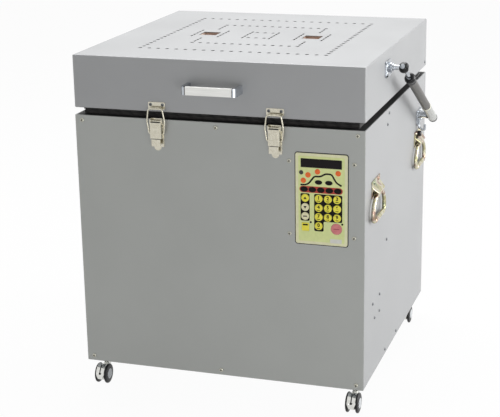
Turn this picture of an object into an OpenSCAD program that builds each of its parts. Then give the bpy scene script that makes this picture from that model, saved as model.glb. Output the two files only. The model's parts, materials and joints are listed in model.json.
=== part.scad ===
// Bead annealing kiln: a square top-loading kiln on casters, with a hinged lid, two draw latches,
// a keypad controller, four fold-out carry handles and a gas stay on its right side.
// Origin on the floor below the middle of the casing, +Z up, the front towards -Y.

/* [Casing] */
// Width of the casing and the lid
casing_w = 570; // [550:5:620]
// Depth of the casing and the lid, front to back
casing_d = 570; // [550:5:620]
// Height of the casing, without lid and casters
body_h = 507; // [490:1:540]
// Height of the lid
lid_h = 102; // [96:1:120]
// Gap between casing and lid that the seal fills
lid_gap = 14; // [12:0.5:16]
// Height from the floor to the casing
caster_h = 55; // [54:0.5:58]

/* [Sheet metal] */
// Thickness of the casing and lid sheets
sheet_t = 1.5; // [1:0.1:2]
// Thickness of the base tray and its rails
tray_t = 2; // [1.5:0.1:3]
// Width of the folded edges of the casing
flange_w = 25; // [22:1:30]
// Width of the folded bottom edge of the lid
lid_flange_w = 35; // [32:1:38]
// Distance from a corner screw to the side edge of the front panel
screw_edge_x = 14; // [10:0.5:18]
// Distance from a front panel screw to the top or bottom edge
screw_edge_z = 10; // [8:0.5:13]
// Shank radius of the sheet metal screws
screw_r = 2; // [1.5:0.1:2.5]
// Head radius of the sheet metal screws
screw_head_r = 4; // [3.5:0.1:5]

/* [Insulation] */
// Width of the firing chamber
chamber_w = 300; // [280:5:310]
// Depth of the firing chamber, front to back
chamber_d = 300; // [280:5:310]
// Thickness of the firebrick slabs
brick_t = 64; // [56:1:66]
// Thickness of the board around the bricks
board_t = 20; // [14:1:21]
// Height of the rails that carry the floor board
rail_h = 40; // [30:1:50]
// Height of the bricks above the deck
brick_proud = 6; // [4:0.5:7]
// Thickness of the lid insulation above its folded edge
lid_block_t = 62; // [50:1:70]
// Joint between neighbouring slabs
brick_joint = 0.2; // [0.1:0.05:0.4]

/* [Heating] */
// Number of element rows up the chamber wall
element_rows = 3; // [2:1:4]
// Height of the lowest element row above the chamber floor
element_low = 90; // [75:1:100]
// Radius of the wound heating coil
coil_r = 4.5; // [3.5:0.1:5]
// Radius of the straight leads at the ends of a coil
lead_r = 1.8; // [1.5:0.1:2.2]
// Distance between the two leads of a coil
lead_gap = 30; // [24:1:40]
// Length of thermocouple rod inside the chamber
probe_reach = 28; // [20:1:40]
// Radius of the thermocouple rod
probe_r = 3; // [2.5:0.1:4]

/* [Kiln shelf] */
// Side length of the square shelf
shelf_w = 262; // [240:1:268]
// Thickness of the shelf
shelf_t = 12; // [10:1:15]
// Height of the posts below the shelf
post_h = 40; // [30:1:50]
// Side length of a post
post_w = 25; // [20:1:30]

/* [Seal] */
// Distance from the casing edge to the seal
seal_inset = 13; // [11:0.5:15]
// Width of the seal rope
seal_w = 14; // [10:0.5:16]
// Height of the seal rope on the deck
seal_h = 8; // [7:0.5:9]

/* [Lid vents] */
// Side length of the square vent openings
vent_w = 36; // [30:1:40]
// Distance of a vent opening from the middle
vent_x = 108; // [100:1:116]
// Wall of the collar that lines a vent
vent_wall = 8; // [6:0.5:10]
// Diameter of a round hole in the lid
lid_hole_d = 8; // [6:0.25:9]
// Length of a slot in the lid
slot_l = 12; // [10:0.25:13]
// Width of a slot in the lid
slot_w = 4; // [3:0.25:5]
// Distance from the middle to the outer ring of holes
outer_ring = 186; // [180:1:195]
// Number of spaces along a side of the outer ring
outer_spaces = 20; // [18:1:21]
// Distance from the middle to the inner ring of holes and slots
inner_ring = 108; // [100:1:116]
// Number of spaces along a side of the inner ring
inner_spaces = 13; // [12:1:14]
// Half the stretch of the inner ring that is left out beside a vent
inner_break = 47; // [44:1:50]
// Distance from the middle of a vent or the lid to the slot columns beside it
small_ring = 28; // [26:1:32]

/* [Lid handle] */
// Length of the handle, end to end
grip_l = 108; // [90:1:130]
// Height of the flat bar of the handle
grip_h = 16; // [12:0.5:20]
// Thickness of the flat bar
grip_t = 7; // [5:0.5:9]
// Distance from the lid to the outer face of the bar
grip_out = 38; // [34:1:45]
// Outer corner radius of the handle
grip_corner = 8; // [7.5:0.5:12]

/* [Latches] */
// Distance of a latch from the middle of the front
latch_x = 116; // [90:1:180]
// Width of a latch lever
lever_w = 22; // [20:0.5:26]
// Length of a latch lever below its pivot
lever_l = 46; // [42:0.5:52]
// Distance from the lever pivot down to the bail pivot
bail_drop = 24; // [20:0.5:26]
// Distance of the lever pivot below the deck
lever_below_deck = 3; // [2:0.5:6]
// Radius of the bail wire
bail_wire_r = 1.6; // [1.2:0.1:1.8]
// Width of the bail at its widest
bail_w = 38.6; // [36:0.2:44]
// Width of the keeper on the lid
keeper_w = 34; // [32:0.5:38]
// Height of the keeper plate
keeper_h = 14; // [12:0.5:18]
// Distance from the lid edge up to the keeper
keeper_up = 5; // [4:0.5:6]

/* [Carry handles] */
// Distance of a carry handle from the casing corner
carry_inset = 85; // [78:1:100]
// Distance from the deck down to a handle plate
carry_below_deck = 109; // [105:1:130]
// Length of a handle plate
carry_plate_l = 64; // [62:1:70]
// Height of a handle plate
carry_plate_h = 36; // [34:1:44]
// Thickness of a handle plate
carry_plate_t = 2; // [1.5:0.1:2.5]
// Length of the hanging loop, from its pivot to the grip
carry_loop_h = 44; // [42:1:54]
// Width of the loop between the middles of its sides
carry_loop_w = 92; // [86:1:100]
// Radius of the loop sides
carry_leg_r = 4; // [3:0.1:4.2]
// Radius of the loop grip
carry_grip_r = 5; // [4.5:0.1:6]
// Distance from the casing to the loop pivot
carry_out = 7; // [6.5:0.1:8]

/* [Gas stay] */
// Distance from the casing side to the axis of the stay
stay_out = 30; // [27:0.5:34]
// Place of the lid pivot, front to back
stay_lid_y = -99; // [-110:1:-90]
// Distance from the lid top down to the lid pivot
stay_lid_down = 34; // [30:1:40]
// Place of the casing pivot, front to back
stay_body_y = 200; // [190:1:205]
// Distance from the deck down to the casing pivot
stay_body_down = 76; // [70:1:80]
// Radius of the stay tube
stay_tube_r = 9; // [8:0.5:10]
// Radius of the stay rod
stay_rod_r = 4; // [3:0.1:4.5]
// Length of rod that shows when the lid is closed
stay_rod_show = 62; // [55:1:70]
// Stroke of the stay
stay_stroke = 146; // [130:1:150]
// Length of the stay tube past the casing pivot
stay_tail = 26; // [20:1:30]

/* [Hinges] */
// Distance of a hinge from the middle of the back
hinge_x = 170; // [120:1:200]
// Width of a hinge
hinge_w = 60; // [50:1:80]
// Height of a hinge leaf from the pin
hinge_leaf_h = 48; // [40:1:60]
// Thickness of a hinge leaf
hinge_leaf_t = 2; // [1.5:0.1:3]
// Radius of a hinge knuckle
knuckle_r = 5; // [4.5:0.1:5.5]
// Radius of a hinge pin
hinge_pin_r = 2.5; // [2:0.1:3]

/* [Keypad] */
// Distance from the right edge to the middle of the keypad
keypad_inset = 81.5; // [78:0.5:110]
// Distance from the deck down to the middle of the keypad
keypad_down = 134; // [125:1:180]
// Width of the keypad
keypad_w = 99; // [97:0.5:105]
// Height of the keypad
keypad_h = 174; // [170:1:180]
// Thickness of the keypad face
keypad_t = 1.2; // [1:0.1:1.5]
// Corner radius of the keypad
keypad_corner = 4; // [2:0.5:6]
// Diameter of a round key
key_d = 15; // [13:0.25:15.5]
// Distance between neighbouring keys
key_pitch = 17.5; // [17:0.25:18]
// Diameter of the large round key
large_key_d = 21; // [18:0.5:22]
// Width of the square key
square_key_w = 14; // [12:0.5:15]
// Height of the square key
square_key_h = 15.7; // [13:0.5:16]
// Height of a key cap above the keypad
key_proud = 0.7; // [0.6:0.05:1]
// Depth of the controller case
case_depth = 40; // [30:1:42]

/* [Casters] */
// Distance of a swivel axis from the casing side
caster_inset_x = 24; // [23:0.5:30]
// Distance of a swivel axis from the casing front or back
caster_inset_y = 39; // [36:0.5:45]
// Distance from the swivel axis to the wheel axle
caster_trail = 19; // [16:0.5:20]
// Radius of a wheel
wheel_r = 20; // [18:0.5:20.5]
// Width of one wheel of a pair
wheel_w = 6; // [5:0.25:8]
// Width of the hood between the wheels
hood_w = 13; // [12:0.25:14]
// Radius of the hood
hood_r = 17; // [15:0.5:17.5]
// Side length of the mounting plate
caster_plate_w = 38; // [34:1:42]

/* [Hidden] */
$fn = 32;

// Clearances: around a pin or shaft, beside a moving piece, around a screw or a lead
pin_gap = 0.05;
side_gap = 0.3;
hole_gap = 0.1;
// Length that a cutting shape runs past the face that it cuts
over = 1;
// Bends: a bar of a bent wire runs this far past its bend, and a coil has this ball at its corner,
// each as a share of the radius
bend_run = 0.4;
bend_ball = 1.04;

// Main levels and half sizes
half_w = casing_w / 2;
half_d = casing_d / 2;
deck_z = caster_h + body_h;
lid_z = deck_z + lid_gap;
top_z = lid_z + lid_h;

// Levels of the insulation, from the tray up
rail_top = caster_h + tray_t + rail_h;
floor_z = rail_top + board_t + brick_t;
brick_top = deck_z + brick_proud;
brick_x = chamber_w / 2 + brick_t;
brick_y = chamber_d / 2 + brick_t;
board_x = brick_x + board_t;
board_y = brick_y + board_t;
lid_block_z = lid_z + sheet_t;
lid_block_top = lid_block_z + lid_block_t;
lid_ledge = 12;

// Heating elements: the coil axis lies this far inside the brick face, in a groove
coil_sink = coil_r + 1.5;
groove_depth = coil_sink + coil_r + side_gap;
coil_x = chamber_w / 2 + coil_sink;
coil_y = chamber_d / 2 + coil_sink;
lead_out = 12;
element_pitch = (brick_top - floor_z - element_low - post_h) / element_rows;
element_levels = [for (i = [0 : element_rows - 1]) floor_z + element_low + i * element_pitch];
probe_x = -60;
probe_z = (element_levels[0] + element_levels[1]) / 2;
probe_head = [30, 14, 20];

// Screws: those of the front panel, and those of a side sheet as [y, height from an edge]
screw_head_h = 2.2;
screw_l = 8;
front_screws = [for (x = [-1, 0, 1], z = [caster_h + screw_edge_z, deck_z - screw_edge_z])
    [x * (half_w - screw_edge_x), z]];
side_screws_high = [[-86, 10], [-99, 30]];
side_screws_low = [[-96, 244], [-213, 150], [-154, 150], [-196, 116], [-155, 116], [-98, 11], [7, 11]];
side_screws = concat(
    [for (s = side_screws_high) [s.x, deck_z - s.y]],
    [for (s = side_screws_low) [s.x, caster_h + s.y]]);

// Keypad: its middle, the screws of the controller, and the key places from its middle
keypad_x = half_w - keypad_inset;
keypad_z = deck_z - keypad_down;
case_screw_x = 61.75;
case_screw_z = 70;
case_screws = [for (x = [-1, 1], z = [-1, 1])
    [keypad_x + x * case_screw_x, keypad_z + z * case_screw_z]];
display_size = [78, 17];
display_at = [-0.5, 68.5];
display_t = 0.8;
number_key_at = [-5.4, 1.6];
column_key_at = [-31.2, 1.6];
square_key_at = [-30.8, -54];
large_key_at = [28.5, -54.4];
key_back = 2;
board_gap = 0.8;
case_wall = 1.5;
case_margin = 1.5;
case_ear = 15;

// Lid hinge
hinge_y = half_d + hinge_leaf_t + knuckle_r - over;
hinge_z = deck_z + lid_gap / 2;
hinge_knuckle = hinge_w / 3;

// Latches: pivots seen from the side
lever_pivot_y = -half_d - 6;
lever_pivot_z = deck_z - lever_below_deck;
bail_pivot_z = lever_pivot_z - bail_drop;
latch_sheet = 1.5;
lever_front = 11.5;
lever_pin_r = 2;
ear_reach = 5;
lip_out = 7.5;
lip_h = 5;
keeper_z = lid_z + keeper_up;
bail_bar_y = -half_d - lip_out - side_gap - bail_wire_r;
bail_bar_z = keeper_z + lip_h / 2;
base_tail = 55;

// Carry handles: places front to back, levels, and the flared hood over the pivot
carry_y = half_d - carry_inset;
carry_top = deck_z - carry_below_deck;
carry_pivot_z = carry_top - carry_plate_h + 6;
carry_bar_r = 3;
carry_neck_y = 27;
carry_shoulder = 18;
hood_start = 12;
hood_flare = 11;
carry_knuckle = 10;
carry_knuckle_y = carry_neck_y - carry_leg_r - 1 - carry_knuckle / 2;
carry_screws = [[-carry_plate_l / 4, 6], [carry_plate_l / 4, 6]];

// Gas stay: its two pivots in the side view, its length and its slope when closed
stay_x = half_w + stay_out;
stay_lid_z = top_z - stay_lid_down;
stay_body_z = deck_z - stay_body_down;
stay_len = norm([stay_lid_y - stay_body_y, stay_lid_z - stay_body_z]);
stay_slope = atan2(stay_lid_z - stay_body_z, stay_body_y - stay_lid_y);
stay_pin_r = 4;
stay_eye_r = 9;
stay_bore_r = stay_tube_r - 1.5;
stay_tube_l = stay_len - stay_rod_show;
stay_collar_l = 10;
stay_collar_rim = 0.8;
stay_end_wall = 4;
stay_piston_l = 12;
stay_neck_l = 10;
stay_overlap = 30;
stay_plate_t = 3;

// Casters
caster_x = half_w - caster_inset_x;
caster_y = half_d - caster_inset_y;
caster_plate_t = 2.5;
caster_boss_h = 3.5;
caster_boss_r = 11;
caster_pin_r = 4;
caster_neck_r = 9;
caster_pin_l = 12;
axle_r = 3;
wheel_gap = 0.4;
tyre_round = 2;

// Power inlet
inlet_x = -190;
inlet_z = caster_h + 60;
inlet_size = [48, 28];

// A box from its low corner to its high corner
module block(low, high) translate(low) cube(high - low);

// A square ring from one level to another, given its outer and inner half sizes
module square_ring(outer, inner, z_low, z_high) difference() {
    block([-outer.x, -outer.y, z_low], [outer.x, outer.y, z_high]);
    block([-inner.x, -inner.y, z_low - over], [inner.x, inner.y, z_high + over]);
}

// A round bar between two points
module bar(from, to, r) {
    way = to - from;
    translate(from) rotate([0, acos(way.z / norm(way)), atan2(way.y, way.x)]) cylinder(r = r, h = norm(way));
}

// A bent round bar through a list of points: straight bars that each run a little past their bends
module bent_bar(points, r) for (i = [1 : len(points) - 1]) {
    from = points[i - 1];
    to = points[i];
    past = bend_run * r * (to - from) / norm(to - from);
    bar(i > 1 ? from - past : from, i < len(points) - 1 ? to + past : to, r);
}

// The children and their mirror image on the other side
module both_sides() {
    children();
    mirror([1, 0, 0]) children();
}

// A flat rectangle with round corners, about its middle
module rounded(w, h, r) {
    square([w - 2 * r, h], center = true);
    square([w, h - 2 * r], center = true);
    for (x = [-1, 1], y = [-1, 1]) translate([x * (w / 2 - r), y * (h / 2 - r)]) circle(r = r);
}

// Turns a flat shape drawn in x and z to stand at y, with its thickness towards the front
module facing_front(y, t) translate([0, y, 0]) rotate([90, 0, 0]) linear_extrude(t) children();

// Holes through the front at a list of x and z places
module front_holes(places, r, depth) for (p = places)
    translate([p.x, -half_d - over, p.y]) rotate([-90, 0, 0]) cylinder(r = r, h = depth + over);

// Holes through a side sheet at a list of y and z places
module side_holes(places, r) for (p = places)
    translate([-half_w - over, p.x, p.y]) rotate([0, 90, 0]) cylinder(r = r, h = casing_w + 2 * over);

// A pan head screw: the head stands below z = 0, the shank points up
module pan_screw() {
    translate([0, 0, -screw_head_h]) cylinder(r1 = screw_head_r * 0.6, r2 = screw_head_r, h = screw_head_h);
    cylinder(r = screw_r, h = screw_l);
}

// Casing
module front_panel() color("#92938d") difference() {
    block([-half_w, -half_d, caster_h], [half_w, -half_d + sheet_t, deck_z]);
    front_holes(front_screws, screw_r + hole_gap, sheet_t + over);
    front_holes(case_screws, screw_r + hole_gap, sheet_t + over);
    translate([keypad_x, 0, keypad_z]) facing_front(-half_d + sheet_t + over, sheet_t + 2 * over)
        rounded(keypad_w - 3 * keypad_corner, keypad_h - 3 * keypad_corner, keypad_corner);
}

module casing_wrap() color("#b9bcbd") difference() {
    union() {
        block([-half_w, half_d - sheet_t, caster_h], [half_w, half_d, deck_z]);
        both_sides() {
            block([half_w - sheet_t, -half_d + sheet_t, caster_h], [half_w, half_d, deck_z]);
            block([half_w - flange_w, -half_d + sheet_t, caster_h], [half_w, -half_d + 2 * sheet_t, deck_z]);
        }
    }
    front_holes(front_screws, screw_r + hole_gap, 2 * sheet_t + over);
    side_holes(side_screws, screw_r + hole_gap);
    translate([inlet_x, 0, inlet_z]) facing_front(half_d + over, sheet_t + 2 * over)
        square(inlet_size, center = true);
    // Relief in the folded edge for the ears of the controller case
    block([keypad_x, -half_d + sheet_t - over, keypad_z - keypad_h / 2],
        [min(half_w - sheet_t, keypad_x + case_screw_x + case_ear / 2 + side_gap),
            -half_d + 2 * sheet_t + over, keypad_z + keypad_h / 2]);
}

// The outline inside the casing sheets: behind the folded front edges, and between them up to the panel
module inside_plate(z_low, z_high) {
    block([-half_w + sheet_t, -half_d + 2 * sheet_t, z_low], [half_w - sheet_t, half_d - sheet_t, z_high]);
    block([-half_w + flange_w + side_gap, -half_d + sheet_t, z_low],
        [half_w - flange_w - side_gap, half_d - sheet_t, z_high]);
}

module inside_hollow(t, z_low, z_high) block([-half_w + sheet_t + t, -half_d + 2 * sheet_t + t, z_low],
    [half_w - sheet_t - t, half_d - sheet_t - t, z_high]);

module base_tray() color("#a4a8ab") {
    difference() {
        inside_plate(caster_h, caster_h + flange_w);
        inside_hollow(tray_t, caster_h + tray_t, caster_h + flange_w + over);
        front_holes(front_screws, screw_r + hole_gap, screw_l + over);
        side_holes(side_screws, screw_r + hole_gap);
    }
    // Three open rails that carry the floor board
    for (x = [-board_x + flange_w, 0, board_x - flange_w]) translate([x, 0, 0]) difference() {
        block([-flange_w / 2, -board_y, caster_h + tray_t / 2], [flange_w / 2, board_y, rail_top]);
        block([-flange_w / 2 + tray_t, -board_y - over, caster_h + tray_t],
            [flange_w / 2 + over, board_y + over, rail_top - tray_t]);
    }
}

module top_deck() color("#b9bcbd") difference() {
    inside_plate(deck_z - flange_w, deck_z);
    inside_hollow(sheet_t, deck_z - flange_w - over, deck_z - sheet_t);
    block([-brick_x - side_gap, -brick_y - side_gap, deck_z - flange_w],
        [brick_x + side_gap, brick_y + side_gap, deck_z + over]);
    front_holes(front_screws, screw_r + hole_gap, screw_l + over);
    side_holes(side_screws, screw_r + hole_gap);
}

module body_screws() color("silver") {
    for (p = concat(front_screws, case_screws))
        translate([p.x, -half_d, p.y]) rotate([-90, 0, 0]) pan_screw();
    both_sides() for (p = side_screws) translate([half_w, p.x, p.y]) rotate([0, -90, 0]) pan_screw();
}

module body_gasket() color("#26241f") square_ring(
    [half_w - seal_inset, half_d - seal_inset],
    [half_w - seal_inset - seal_w, half_d - seal_inset - seal_w], deck_z, deck_z + seal_h);

module power_inlet() color("#2b2b2b") translate([inlet_x, 0, inlet_z]) {
    facing_front(half_d + 3, 3) rounded(inlet_size.x + 12, inlet_size.y + 12, 4);
    difference() {
        facing_front(half_d, 26) square(inlet_size - [2 * side_gap, 2 * side_gap], center = true);
        facing_front(half_d + over, 22) square(inlet_size - [10, 10], center = true);
    }
    for (pin = [[-12, -3], [0, 4], [12, -3]])
        translate([pin.x, half_d - 24, pin.y]) rotate([-90, 0, 0]) cylinder(r = 2, h = 20);
}

// Insulation and heating
module lead_holes(r) for (z = element_levels, x = [-lead_gap / 2, lead_gap / 2])
    bar([x, -coil_y, z], [x, -board_y - over, z], r);

module probe_hole(r) bar([probe_x, -chamber_d / 2 + over, probe_z], [probe_x, -board_y - over, probe_z], r);

module insulation_board() color("#e9e6dc") difference() {
    block([-board_x, -board_y, rail_top], [board_x, board_y, deck_z - sheet_t]);
    block([-brick_x - brick_joint, -brick_y - brick_joint, rail_top + board_t],
        [brick_x + brick_joint, brick_y + brick_joint, deck_z]);
    lead_holes(lead_r + side_gap);
    probe_hole(probe_r + side_gap);
}

module chamber_bricks() color("#e8d9b8") difference() {
    union() {
        block([-brick_x, -brick_y, floor_z - brick_t], [brick_x, brick_y, floor_z - brick_joint]);
        for (side = [-1, 1]) {
            translate([0, side * (chamber_d + brick_t) / 2, (floor_z + brick_top) / 2])
                cube([2 * brick_x, brick_t, brick_top - floor_z], center = true);
            translate([side * (chamber_w + brick_t) / 2, 0, (floor_z + brick_top) / 2])
                cube([brick_t, chamber_d - 2 * brick_joint, brick_top - floor_z], center = true);
        }
    }
    for (z = element_levels) block(
        [-chamber_w / 2 - groove_depth, -chamber_d / 2 - groove_depth, z - coil_r - side_gap],
        [chamber_w / 2 + groove_depth, chamber_d / 2 + groove_depth, z + coil_r + side_gap]);
    lead_holes(lead_r + side_gap);
    probe_hole(probe_r + side_gap);
}

// Each coil goes round the chamber in its groove, and leaves through the front as two straight leads
module heating_elements() color("#8c6a55") for (z = element_levels) {
    corners = [[-lead_gap / 2, -coil_y, z], [-coil_x, -coil_y, z], [-coil_x, coil_y, z],
        [coil_x, coil_y, z], [coil_x, -coil_y, z], [lead_gap / 2, -coil_y, z]];
    for (i = [1 : len(corners) - 1]) bar(corners[i - 1], corners[i], coil_r);
    for (c = corners) translate(c) sphere(r = bend_ball * coil_r);
    for (x = [-lead_gap / 2, lead_gap / 2]) bar([x, -coil_y, z], [x, -board_y - lead_out, z], lead_r);
}

module thermocouple() color("#d8d4c8") translate([probe_x, 0, probe_z]) {
    bar([0, -board_y - over, 0], [0, -chamber_d / 2 + probe_reach, 0], probe_r);
    block([-probe_head.x / 2, -board_y - probe_head.y, -probe_head.z / 2],
        [probe_head.x / 2, -board_y, probe_head.z / 2]);
}

module kiln_furniture() color("#d9cfb4") {
    post_x = shelf_w / 2 - post_w;
    for (x = [-post_x, post_x], y = [-post_x, post_x]) translate([x, y, floor_z + post_h / 2])
        cube([post_w, post_w, post_h], center = true);
    translate([0, 0, floor_z + post_h + brick_joint])
        linear_extrude(shelf_t) rounded(shelf_w, shelf_w, post_w / 4);
}

// Controller behind the front panel, and the keypad on it
module keypad_overlay() color("#dfe0b4") translate([keypad_x, 0, keypad_z]) difference() {
    facing_front(-half_d, keypad_t) rounded(keypad_w, keypad_h, keypad_corner);
    translate([display_at.x, 0, display_at.y]) facing_front(-half_d - keypad_t + display_t, 2 * display_t)
        square(display_size, center = true);
    facing_front(-half_d + over, keypad_t + 2 * over) key_outlines(side_gap);
}

// The outlines of all keys, with a clearance around each
module key_outlines(gap) {
    for (i = [0 : 9]) translate(number_place(i)) circle(d = key_d + 2 * gap);
    for (i = [0 : 2]) translate(column_place(i)) circle(d = key_d + 2 * gap);
    translate(square_key_at) square([square_key_w + 2 * gap, square_key_h + 2 * gap], center = true);
    translate(large_key_at) circle(d = large_key_d + 2 * gap);
}

// Place of a number key, 1 to 9 in rows of three and 0 below the 7
function number_place(n) = n == 0
    ? number_key_at + [0, -3 * key_pitch]
    : number_key_at + [((n - 1) % 3) * key_pitch, -floor((n - 1) / 3) * key_pitch];

// Place of a key in the column on the left
function column_place(n) = column_key_at + [0, -n * key_pitch];

// A key: its cap stands through the keypad, its wider back waits in front of the switch board
module key_body(at) translate([keypad_x + at.x, 0, keypad_z + at.y])
    facing_front(-half_d + key_back, key_back + keypad_t + key_proud) children();

module round_key(at, d, tone) color(tone) key_body(at) circle(d = d);

module key_square() color("#e8d23a") key_body(square_key_at) rounded(square_key_w, square_key_h, 1.5);

module display_window() color("#141414") translate([keypad_x + display_at.x, 0, keypad_z + display_at.y])
    facing_front(-half_d - keypad_t + display_t, display_t)
    square(display_size - [hole_gap, hole_gap], center = true);

module controller_case() color("#9aa0a3") translate([keypad_x, -half_d + sheet_t, keypad_z]) {
    case_x = keypad_w / 2 - case_margin;
    case_z = keypad_h / 2 - case_margin;
    switch_board_y = key_back + board_gap - sheet_t;
    difference() {
        block([-case_x, 0, -case_z], [case_x, case_depth, case_z]);
        block([-case_x + case_wall, -over, -case_z + case_wall],
            [case_x - case_wall, case_depth - case_wall, case_z - case_wall]);
    }
    for (x = [-1, 1], z = [-1, 1]) difference() {
        translate([x * (case_x + case_screw_x) / 2, case_wall / 2, z * case_screw_z])
            cube([case_screw_x - case_x + case_ear, case_wall, case_ear], center = true);
        translate([x * case_screw_x, -over, z * case_screw_z]) rotate([-90, 0, 0])
            cylinder(r = screw_r + hole_gap, h = case_wall + 2 * over);
    }
    // Switch board behind the keys, main board, and two relays on it
    block([-case_x, switch_board_y, -case_z], [case_x, switch_board_y + case_wall, case_z]);
    block([-case_x, case_depth / 2, -case_z], [case_x, case_depth / 2 + case_wall, case_z]);
    for (x = [-20, 20]) block([x - 10, case_depth / 2, -50], [x + 10, case_depth - 4, -20]);
}

// Latches
module latch_bases() color("#cfcab4") both_sides() translate([latch_x, 0, 0]) {
    ear_x = lever_w / 2 + side_gap;
    facing_front(-half_d, latch_sheet) {
        translate([0, lever_pivot_z + ear_reach - base_tail / 2])
            square([2 * (ear_x + latch_sheet), base_tail], center = true);
        translate([0, lever_pivot_z + ear_reach - base_tail]) circle(r = lever_w / 3);
    }
    for (side = [-1, 1]) block([side * ear_x + min(side, 0) * latch_sheet, lever_pivot_y - ear_reach / 2,
            lever_pivot_z - ear_reach],
        [side * ear_x + max(side, 0) * latch_sheet, -half_d - latch_sheet / 2, lever_pivot_z + ear_reach]);
    bar([-ear_x - latch_sheet, lever_pivot_y, lever_pivot_z],
        [ear_x + latch_sheet, lever_pivot_y, lever_pivot_z], lever_pin_r);
}

// A lever is a channel: a stepped face and two sides that turn on the pin and hold the bail.
// Its heel is round about the pin and clears the base, so that the lever can swing right up
module latch_lever(side) color("#d8d3bd") translate([side * latch_x, 0, 0]) {
    half = lever_w / 2;
    step_z = lever_pivot_z - lever_l * 0.72;
    step_half = half * 0.78;
    front_y = -half_d - lever_front;
    heel_r = -half_d - latch_sheet - side_gap - lever_pivot_y;
    difference() {
        union() {
            block([-half, front_y, step_z], [half, front_y + latch_sheet, lever_pivot_z - side_gap]);
            block([-step_half, front_y + 1, lever_pivot_z - lever_l],
                [step_half, front_y + 1 + latch_sheet, step_z + 1]);
            for (s = [-1, 1]) {
                block([s * half - max(s, 0) * latch_sheet, front_y, step_z],
                    [s * half - min(s, 0) * latch_sheet, lever_pivot_y + heel_r, lever_pivot_z - side_gap]);
                bar([s * half, lever_pivot_y, lever_pivot_z],
                    [s * (half - latch_sheet), lever_pivot_y, lever_pivot_z], heel_r);
            }
        }
        bar([-half - over, lever_pivot_y, lever_pivot_z], [half + over, lever_pivot_y, lever_pivot_z],
            lever_pin_r + pin_gap);
        bar([-half - over, lever_pivot_y, bail_pivot_z], [half + over, lever_pivot_y, bail_pivot_z],
            bail_wire_r + pin_gap);
    }
}

module latch_bail(side) color("#d8cfae") translate([side * latch_x, 0, 0]) {
    foot_x = lever_w / 2 + latch_sheet + bail_wire_r + 2 * side_gap;
    wide_x = bail_w / 2 - bail_wire_r;
    top_x = keeper_w / 2 - 3;
    wide_z = (bail_pivot_z + bail_bar_z) / 2;
    wide_y = (lever_pivot_y + bail_bar_y) / 2;
    bent_bar(concat(
        [[-lever_w / 2 + latch_sheet, lever_pivot_y, bail_pivot_z], [-foot_x, lever_pivot_y, bail_pivot_z]],
        [[-wide_x, wide_y, wide_z], [-top_x, bail_bar_y, bail_bar_z], [top_x, bail_bar_y, bail_bar_z]],
        [[wide_x, wide_y, wide_z], [foot_x, lever_pivot_y, bail_pivot_z]],
        [[lever_w / 2 - latch_sheet, lever_pivot_y, bail_pivot_z]]), bail_wire_r);
}

module latch_keepers() color("#cfcab4") both_sides() translate([latch_x, 0, 0]) {
    lip_half = keeper_w / 2 - 6;
    block([-keeper_w / 2, -half_d - latch_sheet, keeper_z], [keeper_w / 2, -half_d, keeper_z + keeper_h]);
    block([-lip_half, -half_d - lip_out, keeper_z], [lip_half, -half_d, keeper_z + latch_sheet]);
    block([-lip_half, -half_d - lip_out, keeper_z],
        [lip_half, -half_d - lip_out + latch_sheet, keeper_z + lip_h]);
    for (x = [-1, 1]) translate([x * (keeper_w / 2 - 5), -half_d - latch_sheet, keeper_z + keeper_h - 5])
        rotate([90, 0, 0]) cylinder(r1 = 3, r2 = 2, h = 1.2);
}

// Carry handles, drawn on the right side with the pivot along Y
module handle_plate() {
    translate([half_w, 0, 0]) {
        block([0, -carry_plate_l / 2, carry_top - carry_plate_h],
            [carry_plate_t, carry_plate_l / 2, carry_top]);
        rotate([90, 0, 0]) linear_extrude(carry_plate_l, center = true) polygon([
            [0, carry_top - hood_start + carry_plate_t],
            [carry_plate_t, carry_top - hood_start + carry_plate_t],
            [carry_plate_t + hood_flare, carry_top - hood_start + carry_plate_t - hood_flare],
            [carry_plate_t + hood_flare, carry_top - hood_start - hood_flare],
            [0, carry_top - hood_start]]);
        for (y = [-1, 1]) translate([0, y * carry_knuckle_y, carry_pivot_z]) difference() {
            union() {
                block([0, -carry_knuckle / 2, -carry_bar_r], [carry_out, carry_knuckle / 2, carry_bar_r]);
                bar([carry_out, -carry_knuckle / 2, 0], [carry_out, carry_knuckle / 2, 0], carry_bar_r + 1.5);
            }
            bar([carry_out, -carry_knuckle, 0], [carry_out, carry_knuckle, 0], carry_bar_r + pin_gap);
        }
        for (p = carry_screws) translate([carry_plate_t, p.x, carry_top - p.y])
            rotate([0, 90, 0]) cylinder(r1 = 3.6, r2 = 2.4, h = 1.6);
    }
}

module handle_plates() color("#d6cf9a") both_sides()
    for (y = [-carry_y, carry_y]) translate([0, y, 0]) handle_plate();

module carry_loop(side, y) color("#cfc68c") scale([side, 1, 1])
    translate([half_w + carry_out, y, carry_pivot_z]) {
    leg_y = carry_loop_w / 2;
    grip_y = leg_y - 2 * carry_leg_r;
    bar([0, -carry_neck_y, 0], [0, carry_neck_y, 0], carry_bar_r);
    for (s = [-1, 1]) {
        side_points = [[0, s * carry_neck_y, 0], [0, s * leg_y, -carry_shoulder],
            [0, s * leg_y, -carry_loop_h]];
        for (p = side_points) translate(p) sphere(r = bend_ball * carry_leg_r);
        for (i = [1, 2]) bar(side_points[i - 1], side_points[i], carry_leg_r);
    }
    bar([0, -leg_y, -carry_loop_h], [0, leg_y, -carry_loop_h], carry_leg_r);
    bar([0, -grip_y, -carry_loop_h], [0, grip_y, -carry_loop_h], carry_grip_r);
}

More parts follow.
